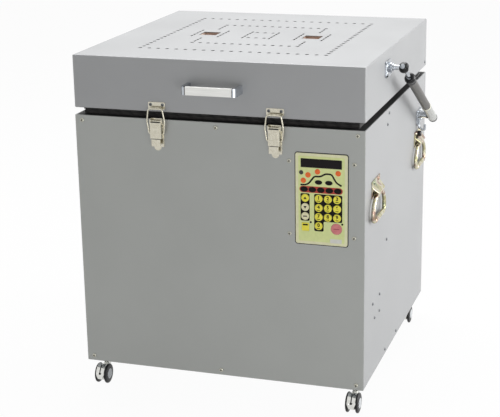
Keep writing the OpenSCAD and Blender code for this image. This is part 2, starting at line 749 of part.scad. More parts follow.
// Gas stay on the right side
module stay_body_bracket() color("#c9ced2") translate([half_w, stay_body_y, stay_body_z]) {
    block([0, -16, -22], [stay_plate_t, 34, 10]);
    block([0, -9, -9], [stay_out - stay_tube_r - 4, 9, -9 + stay_plate_t]);
    bar([0, 0, 0], [stay_out - stay_tube_r - 1.5, 0, 0], stay_pin_r + 3);
    bar([0, 0, 0], [stay_out - 3, 0, 0], stay_pin_r);
    for (p = [[-9, 3], [27, 3], [27, -15]]) translate([stay_plate_t, p.x, p.y]) rotate([0, 90, 0])
        cylinder(r1 = 4, r2 = 2.6, h = 2);
}

module stay_lid_bracket() color("#c9ced2") translate([half_w, stay_lid_y, stay_lid_z]) {
    block([0, -30, -16], [stay_plate_t, 14, 14]);
    block([0, -12, -stay_plate_t / 2], [stay_out - stay_eye_r - 4, 9, stay_plate_t / 2]);
    bar([0, 0, 0], [stay_out - stay_eye_r - side_gap, 0, 0], stay_pin_r + 2);
    for (p = [[-22, 6], [-22, -8], [8, -9]]) translate([stay_plate_t, p.x, p.y]) rotate([0, 90, 0])
        cylinder(r1 = 4, r2 = 2.6, h = 2);
}

// Places the children with z = 0 at the casing pivot and +z along the stay towards the lid
module along_stay() translate([stay_x, stay_body_y, stay_body_z]) rotate([90 - stay_slope, 0, 0]) children();

module stay_cylinder() color("#4e4f50") {
    along_stay() difference() {
        union() {
            translate([0, 0, -stay_tail]) cylinder(r = stay_tube_r, h = stay_tail + stay_tube_l);
            translate([0, 0, stay_tube_l - stay_collar_l])
                cylinder(r = stay_tube_r + stay_collar_rim, h = stay_collar_l);
            rotate([0, -90, 0]) cylinder(r = stay_pin_r + 3.5, h = stay_tube_r + 1);
        }
        translate([0, 0, stay_pin_r + stay_end_wall])
            cylinder(r = stay_bore_r, h = stay_tube_l - stay_collar_l - stay_pin_r - stay_end_wall);
        cylinder(r = stay_rod_r + pin_gap, h = stay_len);
        rotate([0, -90, 0]) translate([0, 0, -over]) cylinder(r = stay_pin_r + pin_gap, h = 3 * stay_tube_r);
    }
}

module stay_rod() color("#d5d8da") {
    rod_low = stay_tube_l - stay_stroke - stay_overlap;
    along_stay() {
        translate([0, 0, rod_low]) cylinder(r = stay_rod_r, h = stay_len - rod_low);
        translate([0, 0, rod_low]) cylinder(r = stay_bore_r - pin_gap, h = stay_piston_l);
        translate([0, 0, stay_len]) rotate([0, 90, 0])
            cylinder(r = stay_eye_r, h = 2 * stay_eye_r, center = true);
        translate([0, 0, stay_len - stay_eye_r - stay_neck_l])
            cylinder(r = stay_rod_r + 2, h = stay_neck_l + stay_rod_r);
    }
}

// Lid
module lid_hole(x, y) translate([x, y, top_z - 2 * sheet_t]) cylinder(d = lid_hole_d, h = 3 * sheet_t);

module lid_slot(x, y) translate([x, y, top_z]) cube([slot_w, slot_l, 4 * sheet_t], center = true);

// Rows of holes along the front and back, reach away from the middle
module hole_rows(reach, spaces) for (i = [0 : spaces], s = [-1, 1])
    lid_hole(-reach + i * 2 * reach / spaces, s * reach);

// Places between the rows for the columns along the sides
function column_places(reach, spaces) = [for (i = [1 : spaces - 1]) -reach + i * 2 * reach / spaces];

module vent_openings(z_low, z_high) both_sides() block([vent_x - vent_w / 2, -vent_w / 2, z_low],
    [vent_x + vent_w / 2, vent_w / 2, z_high]);

module lid_shell() color("#c6c9cb") difference() {
    block([-half_w, -half_d, lid_z], [half_w, half_d, top_z]);
    block([-half_w + sheet_t, -half_d + sheet_t, lid_z + sheet_t],
        [half_w - sheet_t, half_d - sheet_t, top_z - sheet_t]);
    block([-half_w + lid_flange_w, -half_d + lid_flange_w, lid_z - over],
        [half_w - lid_flange_w, half_d - lid_flange_w, lid_z + sheet_t + over]);
    vent_openings(top_z - over - sheet_t, top_z + over);
    hole_rows(outer_ring, outer_spaces);
    hole_rows(inner_ring, inner_spaces);
    for (s = [-1, 1]) {
        for (y = column_places(outer_ring, outer_spaces)) lid_hole(s * outer_ring, y);
        for (y = column_places(inner_ring, inner_spaces)) if (abs(y) > inner_break)
            lid_slot(s * inner_ring, y);
        // Slot columns beside each vent and the middle, and short rows of holes around the middle
        for (x = [-vent_x, 0, vent_x], i = [-2 : 2]) lid_slot(x + s * small_ring, i * small_ring * 0.6);
        for (i = [-1 : 1]) lid_hole(i * small_ring * 0.6, s * small_ring * 1.1);
    }
}

module lid_insulation() color("#e3cfc0") difference() {
    block_x = half_w - lid_flange_w + lid_ledge;
    block_y = half_d - lid_flange_w + lid_ledge;
    plug_x = half_w - lid_flange_w - lid_ledge;
    plug_y = half_d - lid_flange_w - lid_ledge;
    union() {
        block([-block_x, -block_y, lid_block_z], [block_x, block_y, lid_block_top]);
        block([-plug_x, -plug_y, brick_top + side_gap], [plug_x, plug_y, lid_block_z + over]);
        both_sides() block([vent_x - vent_w / 2 - vent_wall, -vent_w / 2 - vent_wall, lid_block_top - over],
            [vent_x + vent_w / 2 + vent_wall, vent_w / 2 + vent_wall, top_z - sheet_t]);
    }
    vent_openings(brick_top - over, top_z + over);
}

module lid_seal_frame() color("#2d2b27") square_ring(
    [half_w - seal_inset, half_d - seal_inset],
    [half_w - lid_flange_w - lid_ledge + side_gap, half_d - lid_flange_w - lid_ledge + side_gap],
    deck_z + seal_h + side_gap, lid_z);

module lid_handle() color("#e4e6e8") translate([0, -half_d, lid_z + lid_h / 2 - grip_h / 2]) {
    linear_extrude(grip_h) intersection() {
        translate([-grip_l / 2, -grip_out]) square([grip_l, grip_out]);
        difference() {
            rounded(grip_l, 2 * grip_out, grip_corner);
            rounded(grip_l - 2 * grip_t, 2 * (grip_out - grip_t), grip_corner - grip_t + over / 2);
        }
    }
}

// Hinges at the back: the casing leaf has the outer knuckles and the pin, the lid leaf the middle one
module hinge_leaf_plate(z_low, z_high, half)
    block([-half, half_d, z_low], [half, half_d + hinge_leaf_t, z_high]);

module hinge_screws(z) for (x = [-1, 1]) translate([x * hinge_w / 3, half_d + hinge_leaf_t, z])
    rotate([-90, 0, 0]) cylinder(r1 = 4, r2 = 2.6, h = 2);

module hinge_body_leaves() color("#a9adb0") both_sides() translate([hinge_x, 0, 0]) {
    hinge_leaf_plate(hinge_z - hinge_leaf_h, hinge_z - knuckle_r - over, hinge_w / 2);
    for (s = [-1, 1]) {
        bar([s * hinge_w / 2, hinge_y, hinge_z], [s * hinge_knuckle / 2, hinge_y, hinge_z], knuckle_r);
        translate([s * (hinge_w + hinge_knuckle) / 4, 0, 0])
            hinge_leaf_plate(hinge_z - knuckle_r - 2 * over, hinge_z, (hinge_w - hinge_knuckle) / 4);
    }
    bar([-hinge_w / 2, hinge_y, hinge_z], [hinge_w / 2, hinge_y, hinge_z], hinge_pin_r);
    hinge_screws(hinge_z - hinge_leaf_h / 2 - 10);
    hinge_screws(hinge_z - hinge_leaf_h / 2 + 6);
}

module hinge_lid_leaves() color("#a9adb0") both_sides() translate([hinge_x, 0, 0]) difference() {
    union() {
        hinge_leaf_plate(lid_z, hinge_z + hinge_leaf_h, hinge_w / 2);
        hinge_leaf_plate(hinge_z, lid_z + over, hinge_knuckle / 2 - side_gap);
        bar([-hinge_knuckle / 2 + side_gap, hinge_y, hinge_z],
            [hinge_knuckle / 2 - side_gap, hinge_y, hinge_z], knuckle_r);
        hinge_screws(hinge_z + hinge_leaf_h / 2 - 4);
        hinge_screws(hinge_z + hinge_leaf_h / 2 + 12);
    }
    bar([-hinge_w, hinge_y, hinge_z], [hinge_w, hinge_y, hinge_z], hinge_pin_r + pin_gap);
}

// Casters: the plate with its swivel pin, the hooded fork, and a pair of wheels on one axle
module caster_plates() color("#8e9294") for (x = [-caster_x, caster_x], y = [-caster_y, caster_y])
    translate([x, y, caster_h]) {
        translate([0, 0, -caster_plate_t / 2])
            cube([caster_plate_w, caster_plate_w, caster_plate_t], center = true);
        translate([0, 0, -caster_plate_t - caster_boss_h])
            cylinder(r = caster_boss_r, h = caster_boss_h + over);
        translate([0, 0, -caster_plate_t - caster_boss_h - caster_pin_l])
            cylinder(r = caster_pin_r, h = caster_pin_l + over);
    }

module caster_fork(side, end) color("#e3e5e6") translate([side * caster_x, end * caster_y, 0]) {
    neck_top = caster_h - caster_plate_t - caster_boss_h - side_gap;
    difference() {
        union() {
            bar([-hood_w / 2, -caster_trail, wheel_r], [hood_w / 2, -caster_trail, wheel_r], hood_r);
            translate([-hood_w / 2, -caster_trail, wheel_r]) cube([hood_w, caster_trail, hood_r]);
            translate([0, 0, wheel_r]) cylinder(r = hood_w / 2, h = neck_top - wheel_r);
            translate([0, 0, 2 * wheel_r + wheel_gap])
                cylinder(r = caster_neck_r, h = neck_top - 2 * wheel_r - wheel_gap);
        }
        cylinder(r = caster_pin_r + pin_gap, h = 2 * caster_h);
        bar([-hood_w, -caster_trail, wheel_r], [hood_w, -caster_trail, wheel_r], axle_r + pin_gap);
    }
}

module caster_wheels(side, end) color("#1d1d1d")
    translate([side * caster_x, end * caster_y - caster_trail, wheel_r]) rotate([0, 90, 0]) {
        cylinder(r = axle_r, h = hood_w + wheel_w, center = true);
        for (s = [-1, 1]) translate([0, 0, s * (hood_w / 2 + wheel_gap + wheel_w / 2)])
            rotate_extrude() intersection() {
                rounded(2 * wheel_r, wheel_w, tyre_round);
                translate([0, -wheel_w]) square([wheel_r, 2 * wheel_w]);
            }
    }

front_panel();
casing_wrap();
base_tray();
top_deck();
insulation_board();
chamber_bricks();
heating_elements();
thermocouple();
kiln_furniture();
body_screws();
keypad_overlay();
display_window();
controller_case();
latch_bases();
handle_plates();
stay_body_bracket();
hinge_body_leaves();
caster_plates();
body_gasket();
power_inlet();
lid_shell();
lid_insulation();
lid_seal_frame();
lid_handle();
latch_keepers();
stay_lid_bracket();
hinge_lid_leaves();
stay_cylinder();
stay_rod();
latch_lever(-1);  // latch_lever_left
latch_lever(1);  // latch_lever_right
latch_bail(-1);  // latch_bail_left
latch_bail(1);  // latch_bail_right
carry_loop(-1, -carry_y);  // carry_handle_front_left
carry_loop(1, -carry_y);  // carry_handle_front_right
carry_loop(-1, carry_y);  // carry_handle_rear_left
carry_loop(1, carry_y);  // carry_handle_rear_right
caster_fork(-1, -1);  // caster_fork_front_left
caster_fork(1, -1);  // caster_fork_front_right
caster_fork(-1, 1);  // caster_fork_rear_left
caster_fork(1, 1);  // caster_fork_rear_right
caster_wheels(-1, -1);  // caster_wheels_front_left
caster_wheels(1, -1);  // caster_wheels_front_right
caster_wheels(-1, 1);  // caster_wheels_rear_left
caster_wheels(1, 1);  // caster_wheels_rear_right
round_key(number_place(1), key_d, "#e8d23a");  // key_1
round_key(number_place(2), key_d, "#e8d23a");  // key_2
round_key(number_place(3), key_d, "#e8d23a");  // key_3
round_key(number_place(4), key_d, "#e8d23a");  // key_4
round_key(number_place(5), key_d, "#e8d23a");  // key_5
round_key(number_place(6), key_d, "#e8d23a");  // key_6
round_key(number_place(7), key_d, "#e8d23a");  // key_7
round_key(number_place(8), key_d, "#e8d23a");  // key_8
round_key(number_place(9), key_d, "#e8d23a");  // key_9
round_key(number_place(0), key_d, "#e8d23a");  // key_0
round_key(column_place(0), key_d, "#e8d23a");  // key_column_top
round_key(column_place(1), key_d, "#e6dfb8");  // key_column_middle
round_key(column_place(2), key_d, "#e6dfb8");  // key_column_bottom
key_square();
round_key(large_key_at, large_key_d, "#d9a0a0");  // key_large
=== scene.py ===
# %% [markdown]
# # A bead annealing kiln, dressed in Blender
# The kiln is a square steel box on casters with a deep hinged lid. Its solids come from CAD and are loaded
# as a fixed frame. This lesson gives them real finishes, and models the pieces that need more detail than
# a solid has: latches, handles, keypad, gas stay, casters, heating coils and the brick chamber.

# %% Load the frame
import json
import math

import bpy
from mathutils import Matrix, Vector


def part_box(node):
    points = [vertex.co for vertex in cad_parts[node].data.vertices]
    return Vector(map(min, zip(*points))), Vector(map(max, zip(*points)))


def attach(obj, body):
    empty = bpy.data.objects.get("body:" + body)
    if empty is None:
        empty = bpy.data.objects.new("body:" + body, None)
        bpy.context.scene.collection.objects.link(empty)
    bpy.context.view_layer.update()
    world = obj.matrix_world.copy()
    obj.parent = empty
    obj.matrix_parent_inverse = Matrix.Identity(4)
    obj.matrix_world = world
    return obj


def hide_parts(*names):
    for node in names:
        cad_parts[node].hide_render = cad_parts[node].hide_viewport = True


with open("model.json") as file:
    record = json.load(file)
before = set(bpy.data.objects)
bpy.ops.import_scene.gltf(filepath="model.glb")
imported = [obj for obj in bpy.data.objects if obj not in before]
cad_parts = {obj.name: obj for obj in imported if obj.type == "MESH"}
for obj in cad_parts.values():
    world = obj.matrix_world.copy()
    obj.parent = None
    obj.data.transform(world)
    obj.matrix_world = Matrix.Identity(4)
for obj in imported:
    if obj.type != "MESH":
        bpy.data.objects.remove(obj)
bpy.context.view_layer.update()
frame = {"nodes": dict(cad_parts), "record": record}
NODES = frame["nodes"]
BODY_OF = {node: body for body, nodes in frame["record"]["behaviour"]["bodies"].items() for node in nodes}
SLOT_OF = {part["node"]: part["material_slot"] for part in frame["record"]["subparts"]}
MM = 0.001

# %% [markdown]
# ## Main faces
# The faces that most pieces sit on are read from the boxes of the CAD nodes, so that those pieces follow the
# model. Sizes of pieces are given in millimetres, and spot turns a place into Blender's metres.


# %% Faces and places
def spot(x, y, z):
    """A place given in millimetres."""
    return Vector((x, y, z)) * MM


PANEL_LOW, PANEL_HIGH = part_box("front_panel")
LID_LOW, LID_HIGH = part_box("lid_shell")
SIDE_X, BACK_Y, FACE_Y = LID_HIGH.x / MM, LID_HIGH.y / MM, PANEL_LOW.y / MM
X, Y, Z = (1, 0, 0), (0, 1, 0), (0, 0, 1)
FRONT, LEFT = (0, -1, 0), (-1, 0, 0)
print("front panel", [round(v / MM) for v in PANEL_HIGH - PANEL_LOW], "mm")
print("lid", [round(v / MM) for v in LID_HIGH - LID_LOW], "mm")

# %% [markdown]
# ## Camera
# The photograph was taken from the front right, a little above the lid, with a long lens. The view could be
# set by hand until it looks right. It is more exact to solve it from the corners of the box in the
# photograph, which gives the place, the three angles and the lens below.

# %% Camera of the photograph
CAMERA_AT = Vector((826.5, -2610.5, 1136.0)) * MM
CAMERA_PITCH = math.radians(16.73)  # down from level
CAMERA_YAW = math.radians(18.14)  # to the left of straight ahead
CAMERA_ROLL = math.radians(-0.95)
FOCAL_PIXELS, PHOTO_WIDTH = 1362.7, 500
SENSOR_MM = 36

bpy.ops.object.select_all(action="DESELECT")
bpy.ops.object.camera_add(location=CAMERA_AT)
camera = bpy.context.object
camera.name = "photo_camera"
camera.rotation_euler = (
    Matrix.Rotation(CAMERA_YAW, 3, "Z")
    @ Matrix.Rotation(math.pi / 2 - CAMERA_PITCH, 3, "X")
    @ Matrix.Rotation(CAMERA_ROLL, 3, "Z")
).to_euler()
camera.data.sensor_width = SENSOR_MM
camera.data.lens = FOCAL_PIXELS / PHOTO_WIDTH * SENSOR_MM
bpy.context.scene.camera = camera
print("lens", round(camera.data.lens, 1), "mm")

# %% [markdown]
# ## Helpers for materials
# Colours are written as sRGB hex values, as a colour picker gives them, and turned to the linear values that
# Blender computes with. One function adds a node with its settings and its inputs. Short ones on top of it
# make what most of the materials here are built from: noise, tones, a range and a bump.


# %% Colour and node helpers
def colour(hex_value):
    """The linear colour of an sRGB hex value such as "#8f9089"."""
    parts = [int(hex_value[i:i + 2], 16) / 255 for i in (1, 3, 5)]
    return (*[c / 12.92 if c <= 0.04045 else ((c + 0.055) / 1.055) ** 2.4 for c in parts], 1)


def add_node(material, kind, settings=None, stops=None, numbered=None, **inputs):
    """Adds a node. settings are its properties, stops its colour stops, inputs its values or links. Inputs
    that share a name are given by number."""
    node = material.node_tree.nodes.new(kind)
    for key, value in (settings or {}).items():
        setattr(node, key, value)
    if stops:
        ramp = node.color_ramp.elements
        while len(ramp) < len(stops):
            ramp.new(0.5)
        for element, (position, value) in zip(ramp, stops):
            element.position = position
            element.color = colour(value) if isinstance(value, str) else (value, value, value, 1)
    sockets = [(next(s for s in node.inputs if s.enabled and s.name.replace(" ", "_") == key), value)
               for key, value in inputs.items()]
    sockets += [(node.inputs[number], value) for number, value in (numbered or {}).items()]
    for socket, value in sockets:
        if isinstance(value, bpy.types.NodeSocket):
            material.node_tree.links.new(value, socket)
        else:
            socket.default_value = value
    return node


def new_material(name, base, roughness, metallic=0.0, **uniform):
    """A material with its shader set, and the Object coordinates that place its patterns."""
    material = bpy.data.materials.new(name)
    material.use_nodes = True
    shader = material.node_tree.nodes["Principled BSDF"]
    shader.inputs["Base Color"].default_value = colour(base)
    shader.inputs["Roughness"].default_value = roughness
    shader.inputs["Metallic"].default_value = metallic
    for key, value in uniform.items():
        shader.inputs[key.replace("_", " ")].default_value = value
    return material, add_node(material, "ShaderNodeTexCoord").outputs["Object"]


def link(material, socket, output):
    """Joins a node's output to a socket of the material's shader."""
    material.node_tree.links.new(output, material.node_tree.nodes["Principled BSDF"].inputs[socket])


def per_mm(size):
    """The scale of a pattern whose features are this many millimetres apart."""
    return 1 / (size * MM)


def noise(material, place, size_mm, detail=2.0):
    """Soft clouds about size_mm apart."""
    return add_node(
        material, "ShaderNodeTexNoise", Vector=place, Scale=per_mm(size_mm), Detail=detail).outputs["Fac"]


def cells(material, place, size_mm):
    """A Voronoi pattern of cells about size_mm apart."""
    return add_node(material, "ShaderNodeTexVoronoi", Vector=place, Scale=per_mm(size_mm)).outputs


def tones(material, values, *stops):
    """The colours between stops that the values pick."""
    return add_node(material, "ShaderNodeValToRGB", stops=stops, Fac=values).outputs["Color"]


def spread(material, values, low, high):
    """The values, spread from low to high."""
    return add_node(material, "ShaderNodeMapRange", Value=values, To_Min=low, To_Max=high).outputs["Result"]


def larger(material, first, second):
    """The larger one of two values."""
    return add_node(material, "ShaderNodeMath", settings={"operation": "MAXIMUM"}, Value=first,
                    numbered={1: second}).outputs["Value"]


def relief(material, heights, depth_mm, strength):
    """A bump that is depth_mm deep."""
    bump = add_node(material, "ShaderNodeBump", Strength=strength, Distance=depth_mm * MM, Height=heights)
    return bump.outputs["Normal"]


print("material helpers ready")

# %% [markdown]
# ## Sheet steel with powder coat
# The casing and the lid are steel sheets with a baked silver powder coat. Its metal flakes make it half a
# mirror and half a paint, so it is darker where it faces a dark room and brighter towards a lamp. It has a
# faint orange peel of one or two millimetres, and slow clouds change its tone and gloss a little. As one
# flat grey, the large faces would look like plastic.


# %% Powder coats
def powder_coat(name, base, darker):
    """Silver powder coat: slow clouds for tone and gloss, and a faint orange peel."""
    material, place = new_material(name, base, 0.42, metallic=0.45)
    clouds = noise(material, place, 140, detail=3.0)
    link(material, "Base Color", tones(material, clouds, (0.3, darker), (0.7, base)))
    link(material, "Roughness", spread(material, clouds, 0.4, 0.5))
    link(material, "Normal", relief(material, noise(material, place, 1.6), 0.2, strength=0.06))
    return material


front_paint = powder_coat("powder_coated_steel_front", "#a8aaa7", "#a4a6a3")
case_paint = powder_coat("powder_coated_steel_case", "#a0a1a2", "#9c9d9e")
print("powder coats ready")

# %% [markdown]
# ## Plated steel
# The tray, hinges and brackets are zinc plated. A thin zinc layer shows crystals of a few millimetres as
# patches of slightly different grey. Voronoi cells have that look, so their colour drives the tone. Chrome,
# nickel and die-cast zinc are the same idea with other tones and a smoother surface.


# %% Plated steels
def plated(name, base, darker, grain_mm, rough_low, rough_high):
    """A thin bright metal layer: crystals of grain_mm change its tone, and haze its gloss."""
    material, place = new_material(name, base, rough_low, metallic=1.0)
    crystals = cells(material, place, grain_mm)["Color"]
    link(material, "Base Color", tones(material, crystals, (0.0, darker), (1.0, base)))
    haze = noise(material, place, grain_mm * 3, detail=4.0)
    link(material, "Roughness", spread(material, haze, rough_low, rough_high))
    return material


tray_zinc = plated("hot_dip_zinc_steel", "#b9bdc0", "#a3a8ac", 6, 0.32, 0.5)
bright_zinc = plated("bright_zinc_plate", "#c6cbd0", "#b0b6bc", 3, 0.14, 0.26)
chrome = plated("polished_chrome_plate", "#bcc0c5", "#a3a8ae", 5, 0.06, 0.12)
cast_zinc = plated("polished_zinc_casting", "#dededa", "#cfcfca", 4, 0.12, 0.22)
nickel = plated("satin_nickel_plate", "#d3cfc0", "#bfbaa9", 2.5, 0.2, 0.36)
screw_zinc = plated("passivated_zinc_screws", "#c9c8ba", "#a8a79c", 2, 0.25, 0.4)
dull_zinc = plated("weathered_zinc_plate", "#7c7f81", "#66696b", 2, 0.4, 0.55)
print("plated steels ready")

# %% [markdown]
# ## Yellow passivated zinc
# The carry handles have the rainbow sheen of yellow chromate over zinc: a film so thin that its colour
# changes with its thickness, from straw yellow to green and pink. A metal shader whose colour wanders
# slowly between those tones gives that look from every side.

# %% Yellow zinc
yellow_zinc, place = new_material("yellow_chromate_zinc", "#b5ae86", 0.22, metallic=1.0)
link(yellow_zinc, "Base Color", tones(
    yellow_zinc, noise(yellow_zinc, place, 22),
    (0.3, "#7f8f7c"), (0.42, "#b5ae86"), (0.52, "#cdc9b2"), (0.62, "#a98d80"), (0.72, "#93875f")))
scuffs = noise(yellow_zinc, place, 3, detail=5.0)
link(yellow_zinc, "Roughness", spread(yellow_zinc, scuffs, 0.16, 0.34))
print("yellow zinc ready")

# %% [markdown]
# ## Brushed and painted metal
# The bar of the lid handle is brushed aluminium: a belt leaves fine lines along it. Noise that is stretched
# a hundred times along X looks the same. Real lines are 0.05 mm apart, too fine to show, so they are
# drawn 0.4 mm apart here. The stay's tube and sleeve get fainter lines of the same kind.


# %% Brushed metals
def brushed(name, base, darker, stretch, line_mm, metallic, roughness):
    """Metal with fine lines: a noise squeezed by stretch along the brushing direction."""
    material, place = new_material(name, base, roughness, metallic=metallic)
    along = add_node(material, "ShaderNodeMapping", Vector=place, Scale=stretch).outputs["Vector"]
    lines = noise(material, along, line_mm)
    link(material, "Base Color", tones(material, lines, (0.3, darker), (0.7, base)))
    link(material, "Normal", relief(material, lines, 0.05, strength=0.08))
    return material


brushed_aluminium = brushed("brushed_aluminium", "#f1f1ee", "#dededa", (0.01, 1, 1), 0.4, 0.7, 0.34)
stay_paint = brushed("painted_steel_tube", "#5d5b57", "#4f4d4a", (1, 0.05, 0.05), 1.5, 0.35, 0.4)
stay_silver = brushed("anodised_aluminium_sleeve", "#bfc0bd", "#afb0ac", (1, 0.05, 0.05), 1.5, 0.6, 0.32)
print("brushed metals ready")

# %% [markdown]
# ## Plastics, rubber and printed film
# Moulded plastic has a slight grain from its mould and slow changes of tone. One function makes them all:
# its grain is sized in millimetres, and its bump stays faint. Ink that is printed on the keypad film is
# flatter than plastic, but it is never quite even, so it gets the same treatment with a finer grain.


# %% Plastics, rubber and inks
def moulded(name, base, darker, roughness, grain_mm, depth_mm, **uniform):
    """Plastic, rubber or ink: two tones in slow patches, and a faint grain."""
    material, place = new_material(name, base, roughness, **uniform)
    patches = noise(material, place, grain_mm * 12, detail=3.0)
    link(material, "Base Color", tones(material, patches, (0.3, darker), (0.7, base)))
    link(material, "Normal", relief(material, noise(material, place, grain_mm), depth_mm, strength=0.25))
    return material


tyre_rubber = moulded("polyurethane_tyre", "#161617", "#0e0e0f", 0.42, 1.2, 0.08, Specular_IOR_Level=0.3)
black_plastic = moulded("moulded_black_acetal", "#121213", "#0b0b0c", 0.25, 0.8, 0.03, Specular_IOR_Level=0.3)
hub_plastic = moulded("moulded_grey_abs", "#c4c7c9", "#b4b7b9", 0.35, 0.8, 0.03)
inlet_plastic = moulded("moulded_black_polycarbonate", "#262628", "#1c1c1e", 0.4, 0.8, 0.05)
keypad_film = moulded("printed_polyester_film", "#e6eea8", "#dee7a0", 0.38, 0.6, 0.02)
film_rim = moulded("clear_edge_of_film", "#efeec6", "#e8e7bd", 0.34, 0.6, 0.02)
key_yellow = moulded("yellow_key_film", "#fcf250", "#f4e845", 0.34, 0.6, 0.02)
key_cream = moulded("cream_key_film", "#f5f0c8", "#ece6bc", 0.34, 0.6, 0.02)
key_pink = moulded("pink_key_film", "#dd8787", "#d27a7c", 0.36, 0.6, 0.02)
ink_rose = moulded("rose_screen_ink", "#b45560", "#a94c57", 0.4, 0.5, 0.01)
ink_black = moulded("black_screen_ink", "#171313", "#100d0d", 0.45, 0.5, 0.01, Specular_IOR_Level=0.12)
ink_red = moulded("red_screen_ink", "#c03c2c", "#b23425", 0.4, 0.5, 0.01)
lamp_orange = moulded("orange_lamp_lens", "#f87428", "#f0661c", 0.25, 0.5, 0.01)
lamp_dark = moulded("dark_lamp_lens", "#3a3935", "#2e2d2a", 0.25, 0.5, 0.01)
# Painted shade: a dark colour for the cuts of screw recesses, lever folds and caster slots.
painted_shade_recess = moulded("oiled_screw_recess", "#2b2a28", "#1f1e1d", 0.5, 0.5, 0.02)
# Painted shade: black for the deck under the lid gap.
painted_shade_black = moulded("black_heat_proof_enamel", "#1a1a19", "#131312", 0.6, 1.0, 0.03)
cream_ring = moulded("moulded_cream_nylon", "#dedccd", "#d2d0c0", 0.4, 0.6, 0.02)
blank_label = moulded("white_vinyl_label", "#e4e4dc", "#dadad2", 0.4, 0.5, 0.01)
display_lens = moulded(
    "tinted_acrylic_window", "#150f11", "#0e0a0c", 0.3, 2.0, 0.002, Specular_IOR_Level=0.15)
print("plastics ready")

# %% [markdown]
# ## Refractories
# The chamber is built from insulating firebrick: light, cream coloured and full of pores of about two
# millimetres. Fibre board round it is whiter and looks like pressed felt. The shelf is dense cordierite with
# coarser specks. Each is a noise for its tone and a pattern of cells for its pores.


# %% Brick, board and shelf
def refractory(name, base, darker, pore_mm, depth_mm, roughness=0.9):
    """A fired, porous material: cloudy tone, and pits of pore_mm."""
    material, place = new_material(name, base, roughness)
    tone = tones(material, noise(material, place, 40, detail=6.0), (0.35, darker), (0.65, base))
    pits = tones(material, cells(material, place, pore_mm)["Distance"], (0.0, 0.45), (0.25, 1.0))
    speckled = add_node(
        material, "ShaderNodeMix", settings={"data_type": "RGBA", "blend_type": "MULTIPLY"},
        Factor=0.35, A=tone, B=pits)
    link(material, "Base Color", speckled.outputs["Result"])
    link(material, "Normal", relief(material, pits, depth_mm, strength=0.6))
    return material


firebrick = refractory("insulating_firebrick", "#ead9b6", "#dcc89f", 2.2, 0.4)
lid_fibre = refractory("ceramic_fibre_block", "#dcc3b2", "#cfb3a1", 1.6, 0.3)
fibre_board = refractory("ceramic_fibre_board", "#eeebe2", "#e2ded2", 1.4, 0.2)
shelf_cordierite = refractory("cordierite_shelf", "#dccfb0", "#cbbc9a", 3.5, 0.15, roughness=0.75)
print("refractories ready")

# %% [markdown]
# ## Heating wire and seal rope
# Element wire grows a matt grey-brown oxide when it is first fired. The door seal is a black glass-fibre
# rope, braided from yarns about two millimetres wide. Two crossing waves make that braid as a bump.

# %% Wire and rope
element_wire, place = new_material("oxidised_element_wire", "#7d6a5f", 0.6, metallic=0.6)
oxide = noise(element_wire, place, 8, detail=4.0)
link(element_wire, "Base Color", tones(element_wire, oxide, (0.35, "#5b4b43"), (0.65, "#8d7a6d")))

YARN_MM = 2
seal_rope, place = new_material("braided_glass_fibre_rope", "#1d1c1b", 0.85, Sheen_Weight=0.2)
yarns = []
for angle in (45, -45):
    leaning = add_node(seal_rope, "ShaderNodeMapping", Vector=place, Rotation=(math.radians(angle),) * 3)
    wave = add_node(seal_rope, "ShaderNodeTexWave", Vector=leaning.outputs["Vector"],
                    Scale=per_mm(2 * math.pi * YARN_MM) / 3, Distortion=1.0)
    yarns.append(wave.outputs["Fac"])
braid = larger(seal_rope, *yarns)
link(seal_rope, "Base Color", tones(seal_rope, braid, (0.2, "#121110"), (0.9, "#2a2827")))
link(seal_rope, "Normal", relief(seal_rope, braid, 0.5, strength=0.5))
print("wire and rope ready")

# %% [markdown]
# ## Helpers for modelling
# Blender's operators act on whatever is selected, so each helper starts by clearing the selection. A box or
# a turned shape is the start of a piece, and bevels finish it: no real edge is sharp, and the highlight that
# runs along a rounded edge is what makes metal look like metal.


# %% Selection and finishing helpers
def clear():
    """Leaves edit mode and deselects everything."""
    if bpy.context.object and bpy.context.object.mode != "OBJECT":
        bpy.ops.object.mode_set(mode="OBJECT")
    bpy.ops.object.select_all(action="DESELECT")


def pick(*pieces):
    """Selects these pieces alone, the last one active."""
    clear()
    for piece in pieces:
        piece.select_set(True)
    bpy.context.view_layer.objects.active = pieces[-1]


def open_mesh(piece):
    """Starts to edit a piece, with its whole mesh selected."""
    pick(piece)
    bpy.ops.object.mode_set(mode="EDIT")
    bpy.ops.mesh.select_all(action="SELECT")


def close_mesh():
    """Points the faces of the edited piece outwards and leaves edit mode."""
    bpy.ops.mesh.select_all(action="SELECT")
    bpy.ops.mesh.normals_make_consistent(inside=False)
    bpy.ops.object.mode_set(mode="OBJECT")


def new_piece(name, data):
    """A new piece made of a mesh or a curve."""
    piece = bpy.data.objects.new(name, data)
    bpy.context.scene.collection.objects.link(piece)
    return piece


def settle(piece):
    """Moves a piece's place, turn and size into its mesh, so that its object sits at the origin."""
    pick(piece)
    bpy.ops.object.transform_apply(location=True, rotation=True, scale=True)
    return piece


def modify(piece, kind, **settings):
    """Adds a modifier and applies it."""
    pick(piece)
    modifier = piece.modifiers.new(kind.lower(), kind)
    for key, value in settings.items():
        setattr(modifier, key, value)
    bpy.ops.object.modifier_apply(modifier=modifier.name)
    return piece


def shade(piece):
    """Shades round edges smooth, and keeps the large faces between them flat."""
    pick(piece)
    bpy.ops.object.shade_smooth_by_angle(angle=math.radians(40))
    return modify(piece, "WEIGHTED_NORMAL", weight=100, keep_sharp=True)


def soften(piece, width_mm, segments=2, angle=35):
    """Rounds the edges sharper than angle, and shades the rest smooth."""
    modify(piece, "BEVEL", width=width_mm * MM, segments=segments, angle_limit=math.radians(angle),
           miter_outer="MITER_ARC", use_clamp_overlap=True)
    return shade(piece)


def join(name, pieces):
    """Makes one piece of several."""
    pick(*pieces)
    bpy.ops.object.join()
    piece = bpy.context.object
    piece.name = name
    return piece


